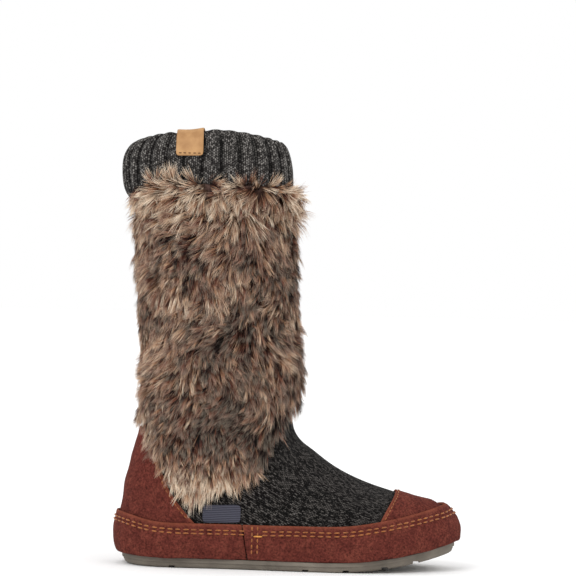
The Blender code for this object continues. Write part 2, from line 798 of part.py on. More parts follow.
def main():
    clear_scene()
    knit = material("charcoal ragg knit", (0.040, 0.038, 0.036), 0.95)
    rib = material("charcoal rib knit", (0.050, 0.048, 0.046), 0.95)
    fur = material("brown fur", (0.235, 0.165, 0.125), 0.90)
    suede = material("russet suede", (0.175, 0.050, 0.036), 0.92)
    rubber = material("taupe rubber", (0.200, 0.170, 0.135), 0.75)
    footbed = material("grey felt", (0.300, 0.280, 0.260), 0.95)
    leather = material("tan leather", (0.560, 0.340, 0.160), 0.55)
    woven = material("slate woven label", (0.065, 0.065, 0.085), 0.80)
    make_outsole(rubber)
    make_insole(footbed)
    make_upper(knit)
    make_cuff(rib)
    make_fur_sleeve(fur)
    make_heel_counter(suede)
    make_toe_cap(suede)
    make_guards(suede)
    make_tab(leather)
    make_label(woven)


main()
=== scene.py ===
# %% [markdown]
# # A tall knitted slipper boot with a fur sleeve
# The boot is a soft knitted sock on a thin rubber sole. Suede pieces guard its heel, its toe and the edge
# above the sole, and a sleeve of long imitation fur covers the shaft. The solids come from the CAD model.
# Here each one gets its real surface: knit, rib, fur, suede, stitches, leather, felt and rubber.

# %% Load the CAD frame
import json
import math
import bpy
import numpy as np
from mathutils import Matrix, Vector, kdtree
from mathutils.bvhtree import BVHTree

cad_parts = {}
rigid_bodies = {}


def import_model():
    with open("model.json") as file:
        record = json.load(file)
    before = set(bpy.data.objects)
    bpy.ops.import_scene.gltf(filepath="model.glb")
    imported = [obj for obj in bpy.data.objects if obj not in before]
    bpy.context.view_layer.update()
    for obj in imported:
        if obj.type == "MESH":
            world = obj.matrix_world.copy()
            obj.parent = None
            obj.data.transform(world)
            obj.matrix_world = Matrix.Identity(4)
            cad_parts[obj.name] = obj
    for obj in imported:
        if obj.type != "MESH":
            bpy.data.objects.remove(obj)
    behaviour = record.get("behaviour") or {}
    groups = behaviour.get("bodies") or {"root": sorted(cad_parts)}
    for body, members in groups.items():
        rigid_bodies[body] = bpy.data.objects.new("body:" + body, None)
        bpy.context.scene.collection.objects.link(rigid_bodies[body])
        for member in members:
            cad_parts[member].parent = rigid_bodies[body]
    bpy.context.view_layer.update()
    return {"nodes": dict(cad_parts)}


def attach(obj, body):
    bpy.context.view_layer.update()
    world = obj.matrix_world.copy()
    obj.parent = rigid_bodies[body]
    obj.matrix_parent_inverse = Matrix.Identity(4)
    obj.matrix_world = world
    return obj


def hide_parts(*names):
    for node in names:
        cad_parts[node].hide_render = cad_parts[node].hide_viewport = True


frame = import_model()
MM = 0.001
print("CAD nodes:", sorted(frame["nodes"]))

# %% [markdown]
# ## Camera
# The photograph was taken level, at the height of the shaft, from far away with a long lens, and the boot
# leans a little in the picture. A long lens keeps the sole's two ends at the same size.

# %% Place the camera
CAMERA_PLACE = (-0.0041, -2.2, 0.2116)
CAMERA_ROLL = math.radians(-1.4)
LENS = 180.69

lens = bpy.data.cameras.new("boot_camera")
lens.sensor_width = 36.0
lens.lens = LENS
camera = bpy.data.objects.new("boot_camera", lens)
camera.location = CAMERA_PLACE
camera.rotation_euler = (math.radians(90), CAMERA_ROLL, 0)
bpy.context.scene.collection.objects.link(camera)
bpy.context.scene.camera = camera
print("camera at", CAMERA_PLACE, "lens", LENS, "mm")

# %% [markdown]
# ## Small helpers
# A few short functions are used by every piece: one turns the hex colours of the screen to the linear
# numbers that a shader wants, one adds a shader node, and the others copy a CAD solid, read and move its
# points, and measure how far they lie from something.

# %% Helpers for colours and shader nodes
def linear(hex_colour):
    """An sRGB hex colour such as 'a0522d' as linear red, green, blue and a full alpha."""
    parts = [int(hex_colour[i:i + 2], 16) / 255 for i in (0, 2, 4)]
    return [c / 12.92 if c <= 0.04045 else ((c + 0.055) / 1.055) ** 2.4 for c in parts] + [1.0]


def add_node(tree, kind, inputs=None, **settings):
    """Add a shader node with its settings. An input is a plain value or another node's output."""
    made = tree.nodes.new("ShaderNode" + kind)
    for name, value in settings.items():
        setattr(made, name, value)
    for socket, value in (inputs or {}).items():
        if isinstance(value, bpy.types.NodeSocket):
            tree.links.new(value, made.inputs[socket])
        else:
            made.inputs[socket].default_value = value
    return made


def new_material(name, roughness, specular, sheen=0.0, sheen_roughness=0.5):
    """A material with one Principled shader, handed back with its tree and the shader."""
    made = bpy.data.materials.new(name)
    made.use_nodes = True
    tree = made.node_tree
    tree.nodes.clear()
    surface = add_node(tree, "BsdfPrincipled", {"Roughness": roughness, "Specular IOR Level": specular,
                       "Sheen Weight": sheen, "Sheen Roughness": sheen_roughness})
    add_node(tree, "OutputMaterial", {"Surface": surface.outputs["BSDF"]}, target="ALL")
    return made, tree, surface


def set_stops(ramp_node, stops):
    """Give a colour ramp its stops, as pairs of place and hex colour."""
    ramp = ramp_node.color_ramp
    while len(ramp.elements) < len(stops):
        ramp.elements.new(0.5)
    for element, (place, colour) in zip(ramp.elements, stops):
        element.position = place
        element.color = linear(colour)


def raise_surface(tree, height, deep, strength):
    """Let a height raise and sink what the light sees of a surface, by a depth in millimetres."""
    bump = add_node(tree, "Bump", {"Height": height, "Distance": deep * MM, "Strength": strength})
    tree.links.new(bump.outputs["Normal"], tree.nodes["Principled BSDF"].inputs["Normal"])


def grained_material(name, texture, values, stops, relief=None, **shader):
    """A material whose colour follows one texture, and its relief too, as depth in mm and strength."""
    made, tree, surface = new_material(name, **shader)
    place = add_node(tree, "TexCoord").outputs["Object"]
    grain = add_node(tree, texture, {"Vector": place, **values}).outputs["Fac"]
    colour = add_node(tree, "ValToRGB", {"Fac": grain})
    set_stops(colour, stops)
    tree.links.new(colour.outputs["Color"], surface.inputs["Base Color"])
    if relief:
        raise_surface(tree, grain, *relief)
    return made

# %% Helpers for copies of the CAD solids
SHARP = math.radians(50)


def add_object(name, data):
    """Put a mesh or a light in the scene."""
    made = bpy.data.objects.new(name, data)
    bpy.context.scene.collection.objects.link(made)
    return made


def make_active(piece):
    """Select one piece alone and make it the one that operators work on."""
    for other in bpy.context.view_layer.objects:
        other.select_set(False)
    piece.select_set(True)
    bpy.context.view_layer.objects.active = piece


def apply_modifier(piece, kind, **settings):
    """Add one modifier with its settings and make its result the piece's own mesh."""
    make_active(piece)
    added = piece.modifiers.new(kind, kind)
    for name, value in settings.items():
        setattr(added, name, value)
    bpy.ops.object.modifier_apply(modifier=added.name)


def select_sharp(piece):
    """Go to edit mode with the piece's sharp edges selected."""
    make_active(piece)
    bpy.ops.object.mode_set(mode="EDIT")
    bpy.ops.mesh.select_all(action="DESELECT")
    bpy.ops.mesh.select_mode(type="EDGE")
    bpy.ops.mesh.edges_select_sharp(sharpness=SHARP)


def copy_solid(node, name, levels, firm=0.0):
    """Copy a CAD solid, join its loose triangles and smooth the form. Firm, up to 1, keeps cut edges."""
    mesh = frame["nodes"][node].data.copy()
    mesh.name = name
    mesh.materials.clear()
    piece = add_object(name, mesh)
    make_active(piece)
    bpy.ops.object.mode_set(mode="EDIT")
    bpy.ops.mesh.select_all(action="SELECT")
    bpy.ops.mesh.remove_doubles(threshold=0.01 * MM)
    bpy.ops.mesh.tris_convert_to_quads(face_threshold=SHARP, shape_threshold=SHARP)
    bpy.ops.object.mode_set(mode="OBJECT")
    if firm:
        select_sharp(piece)
        bpy.ops.transform.edge_crease(value=firm)
        bpy.ops.object.mode_set(mode="OBJECT")
    if levels:
        apply_modifier(piece, "SUBSURF", levels=levels, render_levels=levels)
    bpy.ops.object.shade_smooth_by_angle(angle=math.radians(40))
    return piece


def dress(piece, slot, *materials):
    """Give a finished piece its materials and its body. The slot is not used."""
    for material in materials:
        piece.data.materials.append(material)
    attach(piece, "root")

# %% Helpers for points and distances
def values_of(items, name):
    """Three numbers for each point or face of a mesh, as an array with one row each."""
    flat = np.empty(len(items) * 3)
    items.foreach_get(name, flat)
    return flat.reshape(-1, 3)


def points_of(mesh):
    """Where each point of a mesh lies."""
    return values_of(mesh.vertices, "co")


def normals_of(mesh):
    """The direction that each point of a mesh faces."""
    return values_of(mesh.vertices, "normal")


def move_points(mesh, points):
    """Put a mesh's points in new places."""
    mesh.vertices.foreach_set("co", points.ravel())
    mesh.update()


def write_shares(mesh, name, values):
    """Keep one number for each point of a mesh, which a shader can read."""
    layer = mesh.attributes.new(name, "FLOAT", "POINT")
    layer.data.foreach_set("value", values.astype(np.float32))


def tree_of(mesh):
    """A search tree of a mesh, for rays."""
    return BVHTree.FromPolygons([v.co for v in mesh.vertices], [p.vertices[:] for p in mesh.polygons])


def search_of(points):
    """A search tree of points, for the nearest one."""
    search = kdtree.KDTree(len(points))
    for number, point in enumerate(points):
        search.insert(point, number)
    search.balance()
    return search


def away_from(mesh, points):
    """How far each point of a mesh lies from the nearest of some points."""
    search = search_of(points)
    return np.array([search.find(v.co)[2] for v in mesh.vertices])

# %% Helpers for soft unevenness
def waves(points, length, seed, count=7):
    """Smooth random hills over the points, from -1 to 1, about one length from hill to hill."""
    random = np.random.default_rng(seed)
    total = np.zeros(len(points))
    for _ in range(count):
        direction = random.normal(size=3)
        direction *= (0.7 + 0.6 * random.random()) * 2 * math.pi / length / np.linalg.norm(direction)
        total += np.sin(points @ direction + random.random() * 2 * math.pi)
    return total / math.sqrt(count / 2) / 1.6


def ramp_up(values, low, high):
    """0 below low, 1 above high, and a soft rise between them."""
    share = np.clip((values - low) / (high - low), 0, 1)
    return share * share * (3 - 2 * share)


print("helpers ready")

# %% [markdown]
# ## Wool knit of the upper
# The foot and shaft are knitted from a charcoal heather yarn: dark wool with grey fibres spun in. Seen from
# the side, one leg of each stitch catches the light, so the knit reads as rows of short dashes that run down
# the shaft and turn towards the toe. A brick pattern paints such rows. The dashes run from pale, a painted
# highlight on the lit legs, to the dark wool, each with a tint of its own, and the near-black mortar between
# them is painted shade.
# The real stitch is about 2 mm long and 1.3 mm wide. It is drawn a little coarser, so that it still shows in
# a view of the whole boot.

# %% Knit material
STITCH_LONG = 2.6
STITCH_WIDE = 1.4


def make_knit(name, long, wide, light, dark, shaded_gap, fleck):
    """Heather knit drawn in a UV map that is in millimetres: dashes lit by painted highlight, gaps of painted
    shade, pale flecks.
    """
    material, tree, surface = new_material(name, 0.92, 0.06, sheen=0.02)
    uv = add_node(tree, "UVMap", uv_map="knit").outputs["UV"]
    sway = add_node(tree, "TexNoise", {"Vector": uv, "Scale": 0.33, "Detail": 1.0})
    shift = add_node(tree, "VectorMath", {0: sway.outputs["Color"], 1: (0.5, 0.5, 0.5)},
                     operation="SUBTRACT").outputs[0]
    bent = add_node(tree, "VectorMath", {0: shift, 1: (0.9, 0.7, 0.0), 2: uv},
                    operation="MULTIPLY_ADD").outputs[0]
    # Dash tints run from the painted highlight of a lit leg to the dark wool. The near-black mortar is
    # painted shade.
    brick = add_node(tree, "TexBrick", {"Vector": bent, "Color1": linear(light),
                     "Color2": linear(dark), "Mortar": linear(shaded_gap), "Scale": 1.0, "Mortar Size": 0.47,
                     "Mortar Smooth": 1.0, "Bias": 0.3, "Brick Width": long, "Row Height": wide},
                     offset=0.5, offset_frequency=2)
    heather = add_node(tree, "TexNoise", {"Vector": uv, "Scale": 0.16, "Detail": 3.0})
    patches = add_node(tree, "MapRange", {"Value": heather.outputs["Fac"], "From Min": 0.35,
                       "From Max": 0.65, "To Min": 0.86, "To Max": 1.14})
    shade = add_node(tree, "VectorMath", {0: brick.outputs["Color"],
                     1: patches.outputs["Result"]}, operation="MULTIPLY").outputs[0]
    speck = add_node(tree, "TexNoise", {"Vector": uv, "Scale": 0.8, "Detail": 2.0})
    is_speck = add_node(tree, "MapRange", {"Value": speck.outputs["Fac"], "From Min": 0.60,
                        "From Max": 0.72, "To Min": 0.0, "To Max": 0.55})
    colour = add_node(tree, "Mix", {"Factor": is_speck.outputs["Result"], "A": shade,
                      "B": linear(fleck)}, data_type="RGBA")
    # Where the cuff's grooves sink in, the colour is darkened down to 0.22: painted shade in the grooves.
    hollow = add_node(tree, "Attribute", attribute_name="groove")
    shadow = add_node(tree, "MapRange", {"Value": hollow.outputs["Fac"], "To Min": 1.0,
                      "To Max": 0.22})
    deep = add_node(tree, "VectorMath", {0: colour.outputs["Result"], 1: shadow.outputs["Result"]},
                    operation="MULTIPLY")
    tree.links.new(deep.outputs[0], surface.inputs["Base Color"])
    fibre = add_node(tree, "TexNoise", {"Vector": uv, "Scale": 2.2, "Detail": 3.0})
    height = add_node(tree, "Math", {0: brick.outputs["Fac"], 1: -1.0, 2: fibre.outputs["Fac"]},
                      operation="MULTIPLY_ADD")
    raise_surface(tree, height.outputs[0], 0.6, 0.9)
    return material


# Knit colours: lit dash as painted highlight, dark wool, near-black gap as painted shade, grey fleck.
knit = make_knit("heather_wool_knit", STITCH_LONG, STITCH_WIDE, "6a6561", "151312", "040404", "888380")
lining = grained_material("brushed_lining", "TexNoise", {"Scale": 420.0, "Detail": 4.0},
                          [(0.35, "4c4a47"), (0.65, "7b7873")], (0.8, 0.8),
                          roughness=0.95, specular=0.15, sheen=0.3)
print("knit dashes", STITCH_LONG, "by", STITCH_WIDE, "mm")

# %% [markdown]
# ## Upper
# The CAD solid already is the boot's wall with its opening, so a smoothed copy of it is the knit. A knitted
# boot is never quite even: the ankle has a few soft creases where it bends, and the whole cloth swells and
# sinks a little.

# %% Find inner and outer faces by the line that runs through the foot and leg
MIDLINE = np.array([(0.100, 0.004, 0.030), (-0.060, 0.0, 0.045), (-0.062, 0.0, 0.340)])


def outward_share(points, normals):
    """How far each face looks away from the middle of the foot and leg: above 0 on the outside."""
    best = np.full(len(points), 1e9)
    away = np.zeros_like(points)
    for start, end in zip(MIDLINE[:-1], MIDLINE[1:]):
        along = end - start
        share = np.clip((points - start) @ along / (along @ along), 0, 1)
        offset = points - (start + share[:, None] * along)
        distance = np.linalg.norm(offset, axis=1)
        nearer = distance < best
        best[nearer] = distance[nearer]
        away[nearer] = offset[nearer]
    return np.einsum("ij,ij->i", away, normals) / np.maximum(best, 1e-6)


def face_values(mesh):
    """The centre and the normal of each face."""
    return values_of(mesh.polygons, "center"), values_of(mesh.polygons, "normal")

# %% Shape the upper
# Each crease: x and z of its middle, slope in degrees, half length, half width, depth (mm, + is a trough).
CREASES = [
    (-6, 117, 18, 30, 4.5, 1.3),
    (-4, 107, 8, 34, 5.0, -0.8),
    (0, 97, -8, 32, 4.5, 1.1),
    (14, 80, -30, 26, 5.0, 0.6),
    (-38, 40, -20, 22, 5.0, 0.5),
    (52, 52, -62, 16, 5.0, 0.5),
]


def crease(points, x, z, slope, half_long, half_wide, depth):
    """How deep a crease presses each point, seen from the side of the boot."""
    turn = math.radians(slope)
    along = (points[:, 0] - x * MM) * math.cos(turn) + (points[:, 2] - z * MM) * math.sin(turn)
    across = -(points[:, 0] - x * MM) * math.sin(turn) + (points[:, 2] - z * MM) * math.cos(turn)
    return depth * MM * np.exp(-(along / (half_long * MM)) ** 2 - (across / (half_wide * MM)) ** 2)


def sink(piece, depths):
    """Press a piece's points in along their normals, by one depth for each."""
    mesh = piece.data
    move_points(mesh, points_of(mesh) - normals_of(mesh) * depths[:, None])


SWELL_DEEP = 0.35
SWELL_LONG = 0.034
upper = copy_solid("upper", "knit_upper", 2)
at = points_of(upper.data)
depths = SWELL_DEEP * MM * waves(at, SWELL_LONG, 5)
for row in CREASES:
    depths += crease(at, *row)
depths *= np.sign(outward_share(at, normals_of(upper.data)))

# The sole and the cuff hold the cloth still at its two ends.
near_sole = 1 - ramp_up(at[:, 2], 0.012, 0.036)
near_top = ramp_up(at[:, 2], 0.255, 0.265)
sink(upper, depths * (1 - near_sole) * (1 - near_top))
print("upper:", len(upper.data.polygons), "faces")

# %% Lay the knit on the upper
# The rows turn about a point in front of the ankle, so they run down the shaft and on to the toe.
TURN_X = 0.095
TURN_Z = 0.190
TURN_RADIUS = 0.160


def knit_place(points):
    """Where a point lies in the knit, in millimetres along a row and across the rows."""
    dx = points[:, 0] - TURN_X
    dz = points[:, 2] - TURN_Z
    along = np.arctan2(dx, -dz) * TURN_RADIUS
    across = np.hypot(dx, dz) + np.abs(points[:, 1])
    return np.stack([along, across], axis=1) / MM


def give_uv(mesh, name, values):
    """Write a UV map from one pair of numbers for each point."""
    layer = mesh.uv_layers.new(name=name)
    corners = np.empty(len(mesh.loops), dtype=np.int32)
    mesh.loops.foreach_get("vertex_index", corners)
    layer.data.foreach_set("uv", values[corners].ravel().astype(np.float32))


# The top edge of the shaft is tucked up into the foot of the cuff, where the two are sewn together.
TUCKED_UP = 3.2
TUCK_FROM = 2.4
TUCK_FULL = 0.6
at = points_of(upper.data)
top = at[:, 2].max()
at[:, 2] += ramp_up(at[:, 2], top - TUCK_FROM * MM, top - TUCK_FULL * MM) * TUCKED_UP * MM
move_points(upper.data, at)
give_uv(upper.data, "knit", knit_place(points_of(upper.data)))
centres, facing = face_values(upper.data)

# The two halves would mirror each other over the instep, so the inner half starts elsewhere in the knit.
HALF_SHIFT = (311.0, 173.0)
inner_half = centres[:, 1] > 0
for face in upper.data.polygons:
    if inner_half[face.index]:
        for corner in face.loop_indices:
            upper.data.uv_layers["knit"].data[corner].uv += Vector(HALF_SHIFT)

# Faces that look well inwards show the lining. The rim between them still belongs to the knit.
UPPER_INSIDE = -0.45
upper_share = outward_share(centres, facing)
upper_outside = upper_share > UPPER_INSIDE
dress(upper, "charcoal_knit", knit, lining)
upper.data.polygons.foreach_set("material_index", (~upper_outside).astype(np.int32))
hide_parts("upper")
print("outside faces:", int(upper_outside.sum()))

# %% [markdown]
# ## Rib cuff
# The cuff is a tube of rib knit: columns of stitches stand up and sink in turn, so it stretches over the
# calf. The CAD solid has the ribs, and the stitches are drawn up each rib.

# %% Cuff
CUFF_X = -0.067
RIB_STITCH_LONG = 1.9
RIB_STITCH_WIDE = 1.45
CUFF_GIRTH = 0.052
GROOVE_DEEP = 1.9
GROOVE_HALF = 2.0
RING_Z = 0.300


def groove_turns(mesh, height):
    """The turns, in degrees, where the CAD ring nearest a height dips inwards."""
    ring = np.array([v.co[:] for v in mesh.vertices if abs(v.co.z - height) < 0.006])
    turn = np.degrees(np.arctan2(ring[:, 1], ring[:, 0] - CUFF_X)).round(1)
    radius = np.hypot(ring[:, 0] - CUFF_X, ring[:, 1])
    turns = np.unique(turn)
    reach = np.array([radius[turn == one].max() for one in turns])
    dips = (reach < np.roll(reach, 1)) & (reach < np.roll(reach, -1))
    return turns[dips]


def degrees_to(turn, places):
    """How far each turn lies from the nearest of the places."""
    away = (turn[:, None] - places[None, :] + 180) % 360 - 180
    return np.abs(away).min(axis=1)


# The rib's colours in the same order: its lit crests are painted highlight and its gaps painted shade.
rib_knit = make_knit("heather_rib_knit", RIB_STITCH_LONG, RIB_STITCH_WIDE, "a49f9a", "3c3937", "0b0a0a",
                     "bdb8b1")
cuff = copy_solid("cuff", "rib_cuff", 2)
at = points_of(cuff.data)

# The foot of the cuff is sewn to the shaft, so it comes down to meet it.
CUFF_FOOT = 1.5
CUFF_SEWN_DOWN = 0.7
at[at[:, 2] < at[:, 2].min() + CUFF_FOOT * MM, 2] -= CUFF_SEWN_DOWN * MM
move_points(cuff.data, at)

# %% Press the grooves between the ribs
cuff_turn = np.arctan2(at[:, 1], at[:, 0] - CUFF_X)
grooves = groove_turns(frame["nodes"]["cuff"].data, RING_Z)
to_groove = degrees_to(np.degrees(cuff_turn), grooves)
rib_share = ramp_up(at[:, 2], 0.274, 0.286) * (1 - ramp_up(at[:, 2], 0.322, 0.329))
rib_share *= outward_share(at, normals_of(cuff.data)) > 0.2
groove = rib_share * np.exp(-(to_groove / GROOVE_HALF) ** 2)
sink(cuff, GROOVE_DEEP * MM * groove)
# The groove share also darkens the rib knit's colour, as painted shade in the grooves.
write_shares(cuff.data, "groove", groove)
give_uv(cuff.data, "knit", np.stack([at[:, 2] / MM, cuff_turn * CUFF_GIRTH / MM], axis=1))
print("grooves:", len(grooves), "at", grooves)

# The rolled rim at the top is knit all over. Below it, faces that look inwards show the lining.
CUFF_INSIDE = -0.3
CUFF_RIM_Z = 0.32
centres, facing = face_values(cuff.data)
cuff_share = outward_share(centres, facing)
cuff_outside = (cuff_share > CUFF_INSIDE) | (centres[:, 2] > CUFF_RIM_Z)
dress(cuff, "charcoal_rib", rib_knit, lining)
cuff.data.polygons.foreach_set("material_index", (~cuff_outside).astype(np.int32))
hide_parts("cuff")
print("cuff:", len(cuff.data.polygons), "faces")

# %% [markdown]
# ## Fur sleeve
# The sleeve is imitation fur: long fibres knitted into a backing, brushed down the leg. No single hair
# matters, but the locks do: hairs lean together, tips meet, and dark ground shows between them. Hair
# systems don't reach a mesh file, so each hair is a narrow ribbon of five triangles that starts on the
# knit under the CAD sleeve and bends over. All of them are placed at once with arrays.

# %% Roots of the hairs
# Roots keep to the outer faces, to those that stand upright, and off a bare band at the cuff's seam.
HAIR_COUNT = 150000
FUR_AREA = 0.062
ROOT_REACH = 0.006
COVER_REACH = 0.012
ROOT_FACING = 0.35
STEEPEST = 0.88
SEAM_BARE = 1.6
SEAM_Z = points_of(cuff.data)[:, 2].min() + CUFF_SEWN_DOWN * MM
upper_rooted = upper_share > ROOT_FACING
cuff_rooted = cuff_share > ROOT_FACING
sleeve_tree = tree_of(frame["nodes"]["fur_sleeve"].data)
cuff_tree = tree_of(cuff.data)


def outer_triangles(mesh, keep):
    """The triangles of the faces to keep, with the area of each."""
    mesh.calc_loop_triangles()
    corners = np.empty(len(mesh.loop_triangles) * 3, dtype=np.int32)
    mesh.loop_triangles.foreach_get("vertices", corners)
    owner = np.empty(len(mesh.loop_triangles), dtype=np.int32)
    mesh.loop_triangles.foreach_get("polygon_index", owner)
    corners = corners.reshape(-1, 3)[keep[owner]]
    at = points_of(mesh)
    a, b, c = at[corners[:, 0]], at[corners[:, 1]], at[corners[:, 2]]
    return corners, np.linalg.norm(np.cross(b - a, c - a), axis=1) / 2


def under_sleeve(point, normal):
    """True where the CAD sleeve lies just outside a point."""
    way = Vector(normal)
    return sleeve_tree.ray_cast(Vector(point) - way * 0.001, way, ROOT_REACH)[0] is not None


def under_cuff(point, normal):
    """True where the cuff lies over a point of the shaft, so no hair can leave there."""
    way = Vector(normal)
    return cuff_tree.ray_cast(Vector(point) + way * 0.0001, way, COVER_REACH)[0] is not None


def spread_roots(mesh, keep, per_area, seed):
    """Random points on the faces to keep, with normals, where the CAD sleeve covers them."""
    random = np.random.default_rng(seed)
    corners, areas = outer_triangles(mesh, keep)
    count = int(areas.sum() * per_area)
    picked = random.choice(len(areas), size=count, p=areas / areas.sum())
    shares = random.random((count, 2))
    flip = shares.sum(axis=1) > 1
    shares[flip] = 1 - shares[flip]
    weights = np.column_stack([1 - shares.sum(axis=1), shares])
    at, facing = points_of(mesh), normals_of(mesh)
    roots = np.einsum("ij,ijk->ik", weights, at[corners[picked]])
    normals = np.einsum("ij,ijk->ik", weights, facing[corners[picked]])
    normals /= np.linalg.norm(normals, axis=1)[:, None]
    upright = (np.abs(normals[:, 2]) < STEEPEST) & (np.abs(roots[:, 2] - SEAM_Z) > SEAM_BARE * MM)
    roots, normals = roots[upright], normals[upright]
    inside = np.array([under_sleeve(p, n) and not under_cuff(p, n) for p, n in zip(roots, normals)])
    return roots[inside], normals[inside]


CUFF_DENSER = 1.2
per_area = HAIR_COUNT / FUR_AREA
roots_a, normals_a = spread_roots(upper.data, upper_rooted, per_area, 1)
roots_b, normals_b = spread_roots(cuff.data, cuff_rooted, per_area * CUFF_DENSER, 2)
roots = np.concatenate([roots_a, roots_b])
normals = np.concatenate([normals_a, normals_b])
print("hair roots:", len(roots_a), "on the shaft and", len(roots_b), "on the cuff's foot")

# %% [markdown]
# ### Locks
# A few hairs stick together in a wisp, wisps gather in locks about 5 mm apart, and the locks in wider
# tufts. The wisps carry most of the change from dark to pale. Leans are in degrees.

# %% Locks
LOCK_SPACING = 4.6
WISP_SPACING = 1.7
TUFT_SPACING = 13.0
FLARE_FROM = 0.279
FLARE_FULL = 0.287


def nearest(places, centres):
    """For each place, the number of the nearest centre."""
    search = search_of(centres)
    return np.array([search.find(place)[1] for place in places])


def pick_some(spacing, seed):
    """Numbers of some of the roots, about one spacing apart."""
    random = np.random.default_rng(seed)
    count = int(len(roots) / per_area / (spacing * MM) ** 2)
    return random.choice(len(roots), size=count, replace=False)


def pile_height(point, normal, far=0.03, usual=0.009):
    """How far the CAD sleeve stands out over a root."""
    away = Vector(normal)
    hit, _, _, distance = sleeve_tree.ray_cast(Vector(point) + away * far, -away, far)
    return usual if hit is None else far - distance


tuft_centres = roots[pick_some(TUFT_SPACING, 3)]
lock_pick = pick_some(LOCK_SPACING, 4)
lock_centres = roots[lock_pick]
wisp_centres = roots[pick_some(WISP_SPACING, 5)]
lock_of_wisp = nearest(wisp_centres, lock_centres)
wisp_of = nearest(roots, wisp_centres)
tuft_of_lock = nearest(lock_centres, tuft_centres)
print("wisps:", len(wisp_centres), "locks:", len(lock_centres), "tufts:", len(tuft_centres))

# %% Lay of each lock
def frames_on(normals):
    """Down the leg and across it, both along the surface, for each normal."""
    down = np.tile(np.array([0.0, 0.0, -1.0]), (len(normals), 1))
    down -= normals * np.einsum("ij,ij->i", down, normals)[:, None]
    down /= np.linalg.norm(down, axis=1)[:, None]
    return down, np.cross(normals, down)


def each_lock(low, high, seed):
    """One random number for each lock."""
    return np.random.default_rng(seed).uniform(low, high, len(lock_centres))


def each_tuft(low, high, seed):
    """One random number for each tuft, handed to its locks."""
    return np.random.default_rng(seed).uniform(low, high, len(tuft_centres))[tuft_of_lock]


def each_wisp(low, high, seed):
    """One random number for each wisp."""
    return np.random.default_rng(seed).uniform(low, high, len(wisp_centres))


lock_height = lock_centres[:, 2]
lock_normals = normals[lock_pick]
flare = ramp_up(lock_height, FLARE_FROM, FLARE_FULL)
low = 1 - ramp_up(lock_height, 0.085, 0.125)
left = ramp_up(-lock_centres[:, 0], 0.050, 0.105)
right = ramp_up(lock_centres[:, 0], -0.045, -0.005)

# The brush went down and a little back over the shaft, and straight down over the ankle.
brushed = -14 - 24 * left * (1 - low) + 20 * right * (1 - low) + low * (12 + 16 * left)
lock_lean = brushed * -lock_normals[:, 1] + 26 * waves(lock_centres, 0.050, 21) * (1 - 0.6 * low)
lock_lean += each_tuft(-26, 26, 22) * (1 - 0.5 * low) + each_lock(-20, 20, 23) * (1 - 0.4 * low)
side = np.sign(each_tuft(-1, 1, 24) + 0.35 * each_lock(-1, 1, 25))
lock_lean += flare * side * each_lock(35, 150, 26)
hem_share = 1 - ramp_up(lock_height, 0.048, 0.075)
lock_length = each_lock(15, 24, 27) * (1 - 0.20 * flare) - 1.5 * low - 3.5 * hem_share
lock_pile = np.array([pile_height(p, n) for p, n in zip(lock_centres, lock_normals)])
lock_rise = lock_pile / MM * (each_lock(0.62, 0.98, 28) + 0.10 * waves(lock_centres, 0.030, 29))
print("locks lean from", round(lock_lean.min()), "to", round(lock_lean.max()), "degrees")

# %% Sizes of a hair, and each wisp's own lean, length, height and tone
HAIR_WIDTH = 0.36
LEAN_PLAY = 8
LEAST_RISE = 2.0
MOST_RISE = 15.0
LEAST_REACH = 4
BEND_UP = 0.80
BEND_OUT = 0.28
TIP_PLAY = 0.45
STEPS = (0.0, 0.38, 0.74, 1.0)
WIDTHS = (0.85, 1.0, 0.62)
LEAST_LIFT = 1.5
NEAR_MOUTH = 0.245
CUT_SHARE = 0.3
upper_tree = tree_of(upper.data)
wisp_lean = each_wisp(-24, 24, 35)
wisp_long = each_wisp(0.72, 1.16, 36)
wisp_high = each_wisp(0.62, 1.14, 37)
wisp_tone = each_wisp(-0.38, 0.38, 38)
print("wisps stray", round(wisp_lean.min()), "to", round(wisp_lean.max()), "degrees from their lock")

# %% Grow the hairs
def gathered(values, groups, count):
    """The mean of the values in each group, handed back to each member."""
    sums = np.zeros((count, values.shape[1] + 1))
    np.add.at(sums, groups, np.column_stack([values, np.ones(len(values))]))
    return (sums[:, :-1] / np.maximum(sums[:, -1:], 1))[groups]


def crosses_wall(start, end):
    """True where the shaft or the cuff lies between two points."""
    way = Vector(end) - Vector(start)
    hits = [tree.ray_cast(Vector(start), way.normalized(), way.length)[0] for tree in (upper_tree, cuff_tree)]
    return any(hit is not None for hit in hits)


